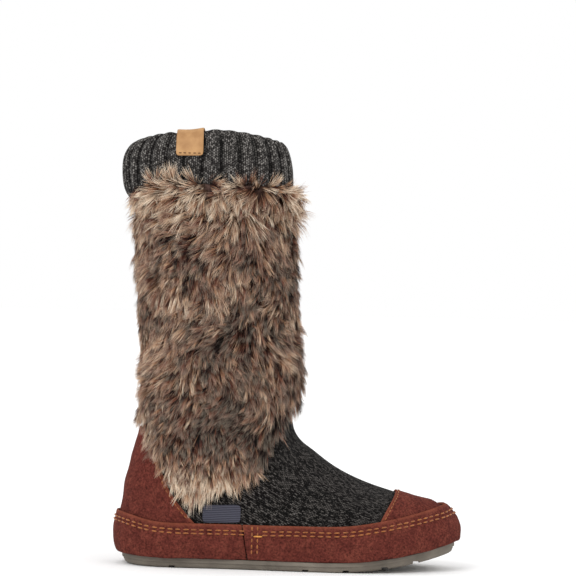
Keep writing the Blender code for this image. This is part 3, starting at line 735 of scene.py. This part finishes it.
def grow(random, roots, normals, wisps):
    """The bend and the tip of each hair: up from the root, then over along the lay."""
    down, across = frames_on(normals)
    count = len(roots)
    locks = lock_of_wisp[wisps]
    loose = 1 + 2.0 * flare[locks]
    lean = np.radians(lock_lean[locks] + loose * (wisp_lean[wisps] + random.normal(0, LEAN_PLAY, count)))
    length = lock_length[locks] * wisp_long[wisps] * random.uniform(0.80, 1.08, count) * MM
    rise = lock_rise[locks] * wisp_high[wisps] * random.uniform(0.80, 1.10, count)
    rise = np.clip(rise, LEAST_RISE, MOST_RISE) * MM
    lay = down * np.cos(lean)[:, None] + across * np.sin(lean)[:, None]
    reach = np.sqrt(np.maximum(length ** 2 - rise ** 2, (LEAST_REACH * MM) ** 2))
    bend = roots + normals * (rise * BEND_UP)[:, None] + lay * (reach * BEND_OUT)[:, None]
    tip = roots + normals * rise[:, None] + lay * reach[:, None]
    in_lock = gathered(np.hstack([bend, tip]), locks, len(lock_centres))
    in_wisp = gathered(np.hstack([bend, tip]), wisps, len(wisp_centres))
    in_wisp += (in_lock - in_wisp) * np.array([0.10] * 3 + [0.30] * 3)
    gather = random.uniform(0.35, 0.85, count)[:, None]
    bend += (in_wisp[:, :3] - bend) * gather * 0.5
    tip += (in_wisp[:, 3:] - tip) * gather
    tip += random.normal(0, TIP_PLAY, (count, 3)) * MM

    # A hair that would dip into its own ground is lifted, and one that would cross the wall is cut short.
    for end in (bend, tip):
        lift = np.einsum("ij,ij->i", end - roots, normals)
        end += normals * np.maximum(LEAST_LIFT * MM - lift, 0)[:, None]
    for one in np.flatnonzero(roots[:, 2] > NEAR_MOUTH):
        if crosses_wall(roots[one] + normals[one] * MM, tip[one]):
            bend[one] = roots[one] + (bend[one] - roots[one]) * CUT_SHARE
            tip[one] = roots[one] + (tip[one] - roots[one]) * CUT_SHARE
    return bend, tip


def hair_ribbons(random, roots, normals, wisps):
    """Points and triangles of the ribbons, seven points to a hair."""
    bend, tip = grow(random, roots, normals, wisps)
    count = len(roots)
    twist = random.normal(0, 0.55, count)
    width = random.uniform(0.7, 1.25, count) * HAIR_WIDTH * MM / 2
    points = np.empty((count, 7, 3))
    for step, (share, wide) in enumerate(zip(STEPS, WIDTHS)):
        middle = (1 - share) ** 2 * roots + 2 * share * (1 - share) * bend + share ** 2 * tip
        along = (1 - share) * (bend - roots) + share * (tip - bend)
        edge = np.cross(along, normals)
        edge /= np.maximum(np.linalg.norm(edge, axis=1), 1e-9)[:, None]
        edge = edge * np.cos(twist)[:, None] + normals * np.sin(twist)[:, None]
        points[:, 2 * step] = middle - edge * (width * wide)[:, None]
        points[:, 2 * step + 1] = middle + edge * (width * wide)[:, None]
    points[:, 6] = tip
    strip = np.array([(0, 1, 3), (0, 3, 2), (2, 3, 5), (2, 5, 4), (4, 5, 6)])
    triangles = strip[None] + 7 * np.arange(count)[:, None, None]
    return points.reshape(-1, 3), triangles.reshape(-1, 3)

# %% [markdown]
# ### Colour of the fur
# Modacrylic fibre is pale at the tip and has a soft silky gloss. Towards the root each hair is darkened with
# painted shade, as deep in the pile. The sleeve is olive and tan at the back, plum brown towards the front,
# and cream at the hem and along its top edge.

# %% Tone of each hair
def tones(random, roots, wisps):
    """A number from 0, dark plum, to 1, cream, for each hair."""
    locks = lock_of_wisp[wisps]
    tuft_tone = each_tuft(-0.13, 0.13, 31)[locks]
    lock_tone = each_lock(-0.16, 0.16, 32)[locks]
    olive = ramp_up(-roots[:, 0], 0.010, 0.10)
    hem = 1 - ramp_up(roots[:, 2], 0.066, 0.098)
    lobe = (1 - hem) * (1 - ramp_up(roots[:, 2], 0.100, 0.150)) * ramp_up(roots[:, 0], -0.105, -0.080)
    crown = ramp_up(roots[:, 2], 0.250, 0.275)
    tone = 0.28 + 0.11 * olive + 0.50 * hem - 0.25 * lobe + 0.40 * crown
    tone += tuft_tone + lock_tone + wisp_tone[wisps]
    tone += 0.07 * waves(roots, 0.040, 33) + random.normal(0, 0.07, len(roots))
    return np.clip(tone, 0.02, 0.97)


def hair_mesh(name, points, triangles, tone):
    """Build one mesh of hairs. Its map holds the tone across and the place along the hair upwards."""
    mesh = bpy.data.meshes.new(name)
    mesh.vertices.add(len(points))
    mesh.vertices.foreach_set("co", points.astype(np.float32).ravel())
    mesh.loops.add(triangles.size)
    mesh.loops.foreach_set("vertex_index", triangles.astype(np.int32).ravel())
    mesh.polygons.add(len(triangles))
    mesh.polygons.foreach_set("loop_start", np.arange(0, triangles.size, 3, dtype=np.int32))
    mesh.update(calc_edges=True)
    spot = np.array([(-1, 0.01), (1, 0.01), (-1, 0.38), (1, 0.38), (-1, 0.74), (1, 0.74), (0, 0.99)])
    values = np.empty((len(tone), 7, 2))
    values[:, :, 0] = tone[:, None] + 0.006 * spot[:, 0]
    values[:, :, 1] = spot[:, 1]
    give_uv(mesh, "OFBake", values.reshape(-1, 2))
    return mesh

# %% Fur material
fur, fur_tree, fur_surface = new_material("long_pile_modacrylic_fur", 0.50, 0.16)
fur_map = add_node(fur_tree, "UVMap", uv_map="OFBake")
split = add_node(fur_tree, "SeparateXYZ", {"Vector": fur_map.outputs["UV"]})
dye = add_node(fur_tree, "ValToRGB", {"Fac": split.outputs["X"]})
set_stops(dye, [(0.03, "22120f"), (0.22, "4f2a22"), (0.42, "926252"), (0.64, "cfa987"), (0.93, "fff2dd")])
# The root end of each hair is darkened by painted shade, as deep in the pile.
root_shade = add_node(fur_tree, "ValToRGB", {"Fac": split.outputs["Y"]})
set_stops(root_shade, [(0.0, "1f1512"), (0.35, "54423a"), (0.66, "d6c8be"), (1.0, "ffffff")])
shaded = add_node(fur_tree, "Mix", {"Factor": 1.0, "A": dye.outputs["Color"],
                  "B": root_shade.outputs["Color"]}, data_type="RGBA", blend_type="MULTIPLY")
tip_share = add_node(fur_tree, "MapRange", {"Value": split.outputs["Y"], "From Min": 0.70,
                     "From Max": 1.0, "To Min": 0.0, "To Max": 0.38})
tipped = add_node(fur_tree, "Mix", {"Factor": tip_share.outputs["Result"],
                  "A": shaded.outputs["Result"], "B": linear("efddc5")}, data_type="RGBA")
fur_tree.links.new(tipped.outputs["Result"], fur_surface.inputs["Base Color"])
print("fur ready, with", len(dye.color_ramp.elements), "dyes")

# %% Make the fur pieces
FUR_PIECES = 4
parts = np.array_split(np.lexsort((roots[:, 2], wisp_of)), FUR_PIECES)
for number, part in enumerate(parts):
    random = np.random.default_rng(50 + number)
    points, triangles = hair_ribbons(random, roots[part], normals[part], wisp_of[part])
    mesh = hair_mesh("fur_" + str(number), points, triangles, tones(random, roots[part], wisp_of[part]))
    hairs = add_object(mesh.name, mesh)
    dress(hairs, "brown_fur", fur)
    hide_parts("fur_sleeve")
    low, high = points.min(axis=0), points.max(axis=0)
    print(mesh.name, len(part), "hairs, box", (low / MM).round(1), (high / MM).round(1))

# %% [markdown]
# ## Fur backing
# Under the pile lies the knitted ground that holds it. It is a thin dark cloth and closes the small gaps
# between the locks, so no charcoal knit shows through the fur.

# %% Backing cloth
BACKING_LIFT = 0.5
BACKING_THICK = 0.4
backing_cloth = grained_material("fur_backing_cloth", "TexNoise", {"Scale": 380.0, "Detail": 3.0},
                                 [(0.35, "2e211d"), (0.65, "54403a")], roughness=0.95, specular=0.1)


def make_backing(name, piece, keep):
    """Lift a thin cloth off a piece, from the faces under the CAD sleeve."""
    at, facing = points_of(piece.data), normals_of(piece.data)
    covered = np.array([under_sleeve(p, n) for p, n in zip(at, facing)])
    faces = [tuple(face.vertices) for face in piece.data.polygons if keep[face.index]]
    faces = [face for face in faces if covered[list(face)].all()]
    used = sorted({v for face in faces for v in face})
    number = {v: i for i, v in enumerate(used)}
    mesh = bpy.data.meshes.new(name)
    lifted = at[used] + facing[used] * BACKING_LIFT * MM
    mesh.from_pydata([tuple(p) for p in lifted], [], [[number[v] for v in face] for face in faces])
    cloth = add_object(name, mesh)
    apply_modifier(cloth, "SOLIDIFY", thickness=BACKING_THICK * MM, offset=1.0)
    bpy.ops.object.shade_smooth()
    dress(cloth, "brown_fur", backing_cloth)
    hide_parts("fur_sleeve")
    print(name, len(cloth.data.polygons), "faces")


make_backing("fur_backing_shaft", upper, upper_rooted)
make_backing("fur_backing_cuff", cuff, cuff_rooted)

# %% [markdown]
# ## Suede
# Suede is the flesh side of leather, brushed to a short nap. It has next to no gloss, looks darker or paler
# where the nap is stroked one way or the other, and wears paler along raised edges. So the colour changes
# in soft patches of about 8 mm, a fine speckle of 0.6 mm stands for the nap, and the edges are paler.

# %% Suede material
suede, suede_tree, suede_surface = new_material("brushed_russet_suede", 0.90, 0.06, 0.05, 0.45)
suede_surface.inputs["Sheen Tint"].default_value = linear("b06a58")
place = add_node(suede_tree, "TexCoord").outputs["Object"]
strokes = add_node(suede_tree, "TexNoise", {"Vector": place, "Scale": 95.0, "Detail": 3.0,
                   "Roughness": 0.55, "Distortion": 0.6})
stroke_colour = add_node(suede_tree, "ValToRGB", {"Fac": strokes.outputs["Fac"]})
set_stops(stroke_colour, [(0.25, "502520"), (0.50, "5b2c25"), (0.78, "6b382e")])
nap = add_node(suede_tree, "TexNoise", {"Vector": place, "Scale": 620.0, "Detail": 4.0,
               "Roughness": 0.7})
nap_shade = add_node(suede_tree, "MapRange", {"Value": nap.outputs["Fac"], "From Min": 0.3,
                     "From Max": 0.7, "To Min": 0.34, "To Max": 1.66})
napped = add_node(suede_tree, "VectorMath", {0: stroke_colour.outputs["Color"],
                  1: nap_shade.outputs["Result"]}, operation="MULTIPLY").outputs[0]
rim = add_node(suede_tree, "Attribute", attribute_name="rim")
rim_share = add_node(suede_tree, "Math", {0: rim.outputs["Fac"], 1: 0.42}, operation="MULTIPLY")
worn = add_node(suede_tree, "Mix", {"Factor": rim_share.outputs[0], "A": napped,
                "B": linear("93533b")}, data_type="RGBA")
suede_tree.links.new(worn.outputs["Result"], suede_surface.inputs["Base Color"])
both = add_node(suede_tree, "Math", {0: strokes.outputs["Fac"], 1: 0.35,
                2: nap.outputs["Fac"]}, operation="MULTIPLY_ADD")
raise_surface(suede_tree, both.outputs[0], 0.7, 0.75)
print("suede ready")

# %% Find the rim of each suede piece
def sharp_points(node):
    """Points of a CAD solid's sharp edges, which are the cut edges of the suede."""
    piece = copy_solid(node, "rim_of_" + node, 0)
    select_sharp(piece)
    bpy.ops.object.mode_set(mode="OBJECT")
    found = []
    for edge in piece.data.edges:
        if edge.select:
            start, end = (piece.data.vertices[v].co for v in edge.vertices)
            found += [start.lerp(end, share) for share in (0.0, 0.25, 0.5, 0.75)]
    bpy.data.objects.remove(piece)
    return found


def mark_rim(piece, sharp, width):
    """Give each point its closeness to the cut edge, 1 on it and 0 well inside."""
    away = away_from(piece.data, sharp)
    write_shares(piece.data, "rim", np.exp(-(away / (width * MM)) ** 2))
    return away

# %% Shape the suede pieces
SUEDE_PIECES = {
    "heel_counter": "suede_heel_counter",
    "toe_cap": "suede_toe_cap",
    "guard_heel": "suede_guard_heel",
    "guard_front": "suede_guard_front",
}
LOWEST_WORN = 0.029
RIM_WIDE = 1.9
suede_pieces = {}
for number, (node, name) in enumerate(SUEDE_PIECES.items()):
    piece = copy_solid(node, name, 2, firm=0.75)
    at = points_of(piece.data)
    unevenness = 0.30 * waves(at, 0.022, 60 + number) + 0.14 * waves(at, 0.009, 70 + number)
    worn_edge = [point for point in sharp_points(node) if point.z > LOWEST_WORN]
    away = mark_rim(piece, worn_edge, RIM_WIDE)
    sink(piece, unevenness * MM * ramp_up(away, 0.0, 0.004))
    suede_pieces[node] = piece
    print(name, len(piece.data.polygons), "faces")

# %% [markdown]
# ## Stitch rows on the guards
# Two rows of thick golden thread run all round the guards, about 4 and 7 mm under their top edge. Each
# stitch is some 4 mm long, and the next one starts about 2 mm on. To find the rows, rays are sent from all
# round towards the line through the middle of the foot: the highest ray that hits suede is the edge.

# %% Walk round the boot
SPINE_BACK = -0.085
SPINE_FRONT = 0.078
RAY_FROM = 0.20
TOP_ROW = 4.2
LOW_ROW = 6.9
STITCH_PITCH = 6.0
STITCH_LENGTH = 4.3


def round_place(share):
    """A point on the foot's middle line and the way outwards, for a share of the way round the boot."""
    straight = SPINE_FRONT - SPINE_BACK
    part = share * 4
    if part < 1:
        return Vector((SPINE_BACK + straight * part, 0, 0)), Vector((0, -1, 0))
    if part < 2:
        turn = math.pi * (part - 1) - math.pi / 2
        return Vector((SPINE_FRONT, 0, 0)), Vector((math.cos(turn), math.sin(turn), 0))
    if part < 3:
        return Vector((SPINE_FRONT - straight * (part - 2), 0, 0)), Vector((0, 1, 0))
    turn = math.pi * (part - 3) + math.pi / 2
    return Vector((SPINE_BACK, 0, 0)), Vector((math.cos(turn), math.sin(turn), 0))


def outermost_hit(trees, start, way, reach):
    """The place and the normal where a ray first meets one of the solids, or None."""
    hits = [tree.ray_cast(start, way, reach) for tree in trees]
    hits = [hit for hit in hits if hit[0] is not None]
    return min(hits, key=lambda hit: hit[3])[:2] if hits else None


def cast_from(trees, share, height):
    """The outermost hit at a height, of a ray sent inwards from one place round the boot."""
    middle, outwards = round_place(share)
    start = middle + outwards * RAY_FROM + Vector((0, 0, height))
    return outermost_hit(trees, start, -outwards, RAY_FROM)


def top_of(trees, share, start=0.062, step=0.0005, lowest=0.01):
    """The height of the guards' top edge at one place round the boot."""
    height = start
    while cast_from(trees, share, height) is None and height > lowest:
        height -= step
    return height


ROUND_STEPS = 480
guard_trees = [tree_of(suede_pieces[node].data) for node in ("guard_heel", "guard_front")]
round_shares = np.arange(ROUND_STEPS) / ROUND_STEPS
measured = np.array([top_of(guard_trees, share) for share in round_shares])
edge_heights = np.convolve(np.concatenate([measured[-3:], measured, measured[:3]]), np.ones(7) / 7, "valid")
lowest, highest = (edge_heights.min() / MM).round(1), (edge_heights.max() / MM).round(1)
print("guards' edge lies from", lowest, "to", highest, "mm")

# %% Places for the stitches of a row
def only_hits(rays):
    """The rays that met something."""
    return [hit for hit in rays if hit]


def row_on_guard(below):
    """Hits all round, one distance under the guards' edge. The first comes again, to close the row."""
    places = zip(round_shares, edge_heights - below * MM)
    hits = only_hits(cast_from(guard_trees, share, height) for share, height in places)
    return hits + hits[:1]


def stitches_along(hits, pitch_mm, length_mm, seed):
    """Ends and normal of each stitch along a row of hits, with a little play by hand."""
    random = np.random.default_rng(seed)
    pitch, length = pitch_mm * MM, length_mm * MM
    steps = [(after[0] - before[0]).length for before, after in zip(hits[:-1], hits[1:])]
    walked = np.concatenate([[0.0], np.cumsum(steps)])
    points = np.array([hit[0][:] for hit in hits])
    facing = np.array([hit[1][:] for hit in hits])

    def at(distance, values):
        return np.array([np.interp(distance, walked, values[:, axis]) for axis in range(3)])

    found = []
    count = round(walked[-1] / pitch)
    for number in range(count):
        start = (number + 0.5) * walked[-1] / count - length / 2 + random.uniform(-0.05, 0.05) * pitch
        end = start + length * random.uniform(0.92, 1.06)
        found.append((at(start, points), at(end, points), at((start + end) / 2, facing)))
    return found

# %% Model one stitch and copy it along a row
BLUNT = 0.72


def model_stitch():
    """One bowed stitch of thread, 1 long, made from a small sphere. Its ends dip into the suede."""
    bpy.ops.mesh.primitive_uv_sphere_add(segments=8, ring_count=6, radius=0.5, rotation=(0, math.pi / 2, 0))
    stitch = bpy.context.active_object
    make_active(stitch)
    bpy.ops.object.transform_apply(location=False, rotation=True, scale=False)
    at = points_of(stitch.data)
    at[:, 0] = np.sign(at[:, 0]) * np.abs(2 * at[:, 0]) ** BLUNT / 2
    move_points(stitch.data, at)
    faces = [tuple(face.vertices) for face in stitch.data.polygons]
    bpy.data.objects.remove(stitch)
    return at, faces


STITCH_POINTS, STITCH_FACES = model_stitch()
print("one stitch has", len(STITCH_POINTS), "points")


def lay_thread(name, stitches, thick, material, slot, bow=0.35, sunk=0.10):
    """Copy the stitch to each place, stretched from end to end, and join all in one piece."""
    points = []
    faces = []
    for start, end, facing in stitches:
        along = end - start
        up = facing - along * (facing @ along) / (along @ along)
        up /= np.linalg.norm(up)
        across = np.cross(up, along)
        across /= np.linalg.norm(across)
        middle = (start + end) / 2 - up * sunk * thick * MM
        arch = bow * thick * MM * (1 - (2 * STITCH_POINTS[:, 0]) ** 2)
        placed = middle + STITCH_POINTS[:, :1] * along + STITCH_POINTS[:, 1:2] * across * thick * MM
        placed = placed + (STITCH_POINTS[:, 2] * thick * MM + arch)[:, None] * up
        faces += [[v + len(points) for v in face] for face in STITCH_FACES]
        points += [tuple(p) for p in placed]
    mesh = bpy.data.meshes.new(name)
    mesh.from_pydata(points, [], faces)
    piece = add_object(name, mesh)
    make_active(piece)
    bpy.ops.object.shade_smooth()
    dress(piece, slot, material)
    print(name, len(stitches), "stitches")

# %% [markdown]
# ### Threads
# The thick thread is twisted from fine fibres and waxed, so it has a soft gloss. The bar tack is sewn so
# densely that it looks paler, and the tab has a thin dark thread of its own.

# %% Threads
thread = grained_material("waxed_golden_thread", "TexNoise", {"Scale": 500.0, "Detail": 2.0},
                          [(0.3, "7d4218"), (0.7, "aa662a")], (0.3, 0.6),
                          roughness=0.6, specular=0.35, sheen=0.2)
tack_thread = grained_material("dense_bar_tack_thread", "TexWave", {"Scale": 400.0, "Distortion": 1.0},
                               [(0.2, "b4742c"), (0.8, "e0a050")], roughness=0.6, specular=0.35)
dark_thread = grained_material("dark_brown_thread", "TexNoise", {"Scale": 600.0, "Detail": 2.0},
                               [(0.3, "3a2413"), (0.7, "5c3d22")], roughness=0.7, specular=0.3)
print("threads:", thread.name, tack_thread.name, dark_thread.name)

# %% Places on the two sides of the boot
SIDES = ((-1, "outer"), (1, "inner"))
SIDE_FROM = 0.1
LAP_FREE = (-31.5, -17.8)
LAP_ROWS = (-26.5, -22.3)
LAP_HEIGHTS = np.arange(0.0345, 0.0115, -0.001)
TACK_X = (-25.6, -18.6)
TACK_Z = 0.0256


def cast_side(trees, side, x, z):
    """The hit of a ray sent straight in from the outer side, -1, or the inner side, 1."""
    return outermost_hit(trees, Vector((x, side * SIDE_FROM, z)), Vector((0, -side, 0)), SIDE_FROM)


def near_lap(stitch):
    """True for a stitch that would cross the lap and its rows."""
    return LAP_FREE[0] < (stitch[0][0] + stitch[1][0]) / 2 / MM < LAP_FREE[1]


def press_row(piece, hits, width, depth):
    """Press a soft groove into a piece along a row of hits."""
    away = away_from(piece.data, [hit[0] for hit in hits])
    sink(piece, depth * MM * np.exp(-(away / (width * MM)) ** 2))

# %% Press the rows into the suede and sew them
GUARD_ROWS = [("thread_top_row", TOP_ROW, 81), ("thread_low_row", LOW_ROW, 82)]
THREAD = 1.2
TACK_THREAD = 1.3
guard_rows = [(name, row_on_guard(below), seed) for name, below, seed in GUARD_ROWS]
for name, hits, seed in guard_rows:
    for node in ("guard_heel", "guard_front"):
        press_row(suede_pieces[node], hits, width=1.5, depth=0.40)
for name, hits, seed in guard_rows:
    sewn = stitches_along(hits, STITCH_PITCH, STITCH_LENGTH, seed)
    lay_thread(name, [stitch for stitch in sewn if not near_lap(stitch)], THREAD, thread, "russet_suede")

# %% [markdown]
# ## Stitches at the lap, the heel counter and the toe cap
# Where the front guard laps over the heel guard, two short rows run down and a bar tack crosses them. One
# finer row follows the edge of the heel counter and of the toe cap, a few millimetres inside it.

# %% Rows down the lap
for side, word in SIDES:
    sewn = []
    for row_x in LAP_ROWS:
        hits = only_hits(cast_side(guard_trees, side, row_x * MM, z) for z in LAP_HEIGHTS)
        press_row(suede_pieces["guard_front"], hits, width=1.2, depth=0.30)
        sewn += stitches_along(hits, pitch_mm=4.4, length_mm=3.2, seed=90)
    lay_thread("thread_lap_" + word, sewn, THREAD, thread, "russet_suede")
    ends = [cast_side(guard_trees, side, x * MM, TACK_Z) for x in TACK_X]
    bar = [(np.array(ends[0][0]), np.array(ends[1][0]), np.array(ends[0][1]))]
    lay_thread("thread_tack_" + word, bar, TACK_THREAD, tack_thread, "russet_suede", bow=0.2)

# %% Row on the heel counter
EDGE_INSET = 2.4
FINE_THREAD = 0.75
COUNTER_HEIGHTS = np.arange(0.037, 0.097, 0.0015)
COUNTER_ACROSS = np.arange(-0.055, -0.125, -0.0005)


def sew_fine_row(name, node, hits, seed):
    """Press one fine row into a suede piece and sew it."""
    press_row(suede_pieces[node], hits, width=1.1, depth=0.25)
    sewn = stitches_along(hits, pitch_mm=4.0, length_mm=2.9, seed=seed)
    lay_thread(name, sewn, FINE_THREAD, thread, "russet_suede")


counter_tree = [tree_of(suede_pieces["heel_counter"].data)]
for side, word in SIDES:
    hits = []
    for height in COUNTER_HEIGHTS:
        edge = next((x for x in COUNTER_ACROSS if cast_side(counter_tree, side, x, height)), None)
        if edge is not None:
            hits.append(cast_side(counter_tree, side, edge - EDGE_INSET * MM, height))
    sew_fine_row("thread_counter_" + word, "heel_counter", only_hits(hits), 91)

# %% Row on the toe cap
# Rays come in from all round. Of each row of rays along the foot, the sixth hit lies inside the back edge.
CAP_MIDDLE = (0.003, 0.022)
CAP_PLACES = np.arange(0.050, 0.105, 0.0005)
CAP_INSET = 5
cap_tree = [tree_of(suede_pieces["toe_cap"].data)]
hits = []
for turn in np.radians(np.arange(-72, 73, 2.5)):
    outwards = Vector((0, math.sin(turn), math.cos(turn)))
    starts = [Vector((x, *CAP_MIDDLE)) + outwards * SIDE_FROM for x in CAP_PLACES]
    row = only_hits(outermost_hit(cap_tree, start, -outwards, SIDE_FROM) for start in starts)
    if len(row) > CAP_INSET + 1:
        hits.append(row[CAP_INSET])
sew_fine_row("thread_toe_cap", "toe_cap", hits, 92)

# %% Rest of the suede pieces
for node, piece in suede_pieces.items():
    dress(piece, "russet_suede", suede)
    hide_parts(node)
print("suede pieces:", sorted(suede_pieces))

# %% [markdown]
# ## Sole, footbed, tab and label
# The outsole is moulded rubber: matt, a little dusty, with fine mould texture. The footbed is felt, the tab
# is vegetable-tanned leather and the label is a bare woven ribbon.

# %% Rubber, felt and woven ribbon
rubber = grained_material("moulded_taupe_rubber", "TexNoise", {"Scale": 60.0, "Detail": 4.0},
                          [(0.3, "5d564d"), (0.7, "7b7368")], roughness=0.72, specular=0.35)
place = rubber.node_tree.nodes["Texture Coordinate"].outputs["Object"]
mould = add_node(rubber.node_tree, "TexNoise", {"Vector": place, "Scale": 900.0, "Detail": 2.0})
raise_surface(rubber.node_tree, mould.outputs["Fac"], 0.3, 0.5)
felt = grained_material("pressed_grey_felt", "TexNoise", {"Scale": 520.0, "Detail": 5.0},
                        [(0.35, "85827b"), (0.65, "a6a39a")], (0.6, 0.7),
                        roughness=0.95, specular=0.12, sheen=0.3)
ribbon = grained_material("woven_slate_ribbon", "TexWave", {"Scale": 230.0, "Distortion": 0.6, "Detail": 1.0},
                          [(0.2, "31313a"), (0.8, "4d4d59")], (0.3, 0.8), roughness=0.75, specular=0.2)
ribbon.node_tree.nodes["Wave Texture"].bands_direction = "Z"
print("sole, footbed and label finishes ready")

# %% Leather, darker along its cut edges
leather = grained_material("vegetable_tanned_leather", "TexNoise", {"Scale": 110.0, "Detail": 4.0},
                           [(0.3, "a07548"), (0.7, "bd9160")], roughness=0.58, specular=0.4)
hide = leather.node_tree
base = hide.nodes["Principled BSDF"].inputs["Base Color"]
leather_rim = add_node(hide, "Attribute", attribute_name="rim")
rim_half = add_node(hide, "Math", {0: leather_rim.outputs["Fac"], 1: 0.6}, operation="MULTIPLY")
# The tab's colour is darkened along its cut edges.
darker_at_cut_edges = add_node(hide, "Mix", {"Factor": rim_half.outputs[0], "A": base.links[0].from_socket,
                     "B": linear("6d4a2c")}, data_type="RGBA")
hide.links.new(darker_at_cut_edges.outputs["Result"], base)
place = hide.nodes["Texture Coordinate"].outputs["Object"]
grain = add_node(hide, "TexVoronoi", {"Vector": place, "Scale": 1100.0})
raise_surface(hide, grain.outputs["Distance"], 0.2, 0.5)
print("tab finish ready")

# %% Sole and footbed
SOLE_EDGE = 0.5
sole = copy_solid("outsole", "rubber_outsole", 0)
apply_modifier(sole, "BEVEL", width=SOLE_EDGE * MM, segments=2, limit_method="ANGLE",
               angle_limit=math.radians(38), use_clamp_overlap=True)
bpy.ops.object.shade_smooth_by_angle(angle=math.radians(30))
dress(sole, "taupe_rubber", rubber)
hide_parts("outsole")
footbed = copy_solid("insole", "felt_footbed", 1)
dress(footbed, "grey_felt", felt)
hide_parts("insole")
print("outsole:", len(sole.data.polygons), "faces, footbed:", len(footbed.data.polygons))

# %% Tab and label
TAB_RIM = 0.8
TAB_THREAD = 0.7
tab = copy_solid("tab", "leather_tab", 2)
mark_rim(tab, sharp_points("tab"), TAB_RIM)
dress(tab, "tan_leather", leather)
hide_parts("tab")
TAB_SEAM_Z = 0.3101
TAB_ACROSS = np.arange(-0.0885, -0.0697, 0.001)
tab_tree = [tree_of(tab.data)]
hits = only_hits(cast_side(tab_tree, -1, x, TAB_SEAM_Z) for x in TAB_ACROSS)
sewn = stitches_along(hits, pitch_mm=3.4, length_mm=2.5, seed=93)
lay_thread("thread_tab", sewn, TAB_THREAD, dark_thread, "tan_leather")
label = copy_solid("label", "woven_label", 2)
dress(label, "slate_label", ribbon)
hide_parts("label")
print("tab:", len(tab.data.polygons), "faces, label:", len(label.data.polygons))

# %% [markdown]
# ## Studio
# The photograph has an even white ground and soft light from all round, a little stronger from above and
# the left. A white world gives that, and two wide suns model the forms without hard shadows.

# %% Floor, world and lights
FLOOR_SIZE = 40.0
bpy.ops.mesh.primitive_plane_add(size=FLOOR_SIZE, location=(0, 0, 0))
floor = bpy.context.active_object
floor.name = "pale_floor"
make_active(floor)
bpy.ops.object.mode_set(mode="EDIT")
bpy.ops.mesh.subdivide(number_cuts=3)
bpy.ops.object.mode_set(mode="OBJECT")
paper, paper_tree, paper_surface = new_material("matt_white_paper", 1.0, 0.0)
paper_surface.inputs["Base Color"].default_value = (0.97, 0.97, 0.97, 1.0)
floor.data.materials.append(paper)

world = bpy.data.worlds.new("white_studio")
world.use_nodes = True
bpy.context.scene.world = world
sky = world.node_tree.nodes["Background"]
sky.inputs["Color"].default_value = (1.0, 1.0, 1.0, 1.0)
sky.inputs["Strength"].default_value = 1.0

# Each light: name, strength, turn about Z and tilt from straight down in degrees, width in degrees.
LIGHTS = [
    ("key_light", 0.9, -28, 48, 30),
    ("fill_light", 0.3, 50, 55, 50),
]
for name, strength, turn, tilt, width in LIGHTS:
    sun = bpy.data.lights.new(name, "SUN")
    sun.energy = strength
    sun.angle = math.radians(width)
    lamp = add_object(name, sun)
    lamp.rotation_euler = (math.radians(tilt), 0, math.radians(turn))

view = bpy.context.scene.view_settings
view.view_transform = "Standard"
view.look = "None"
view.exposure = 0.0
print("lights:", len(LIGHTS))
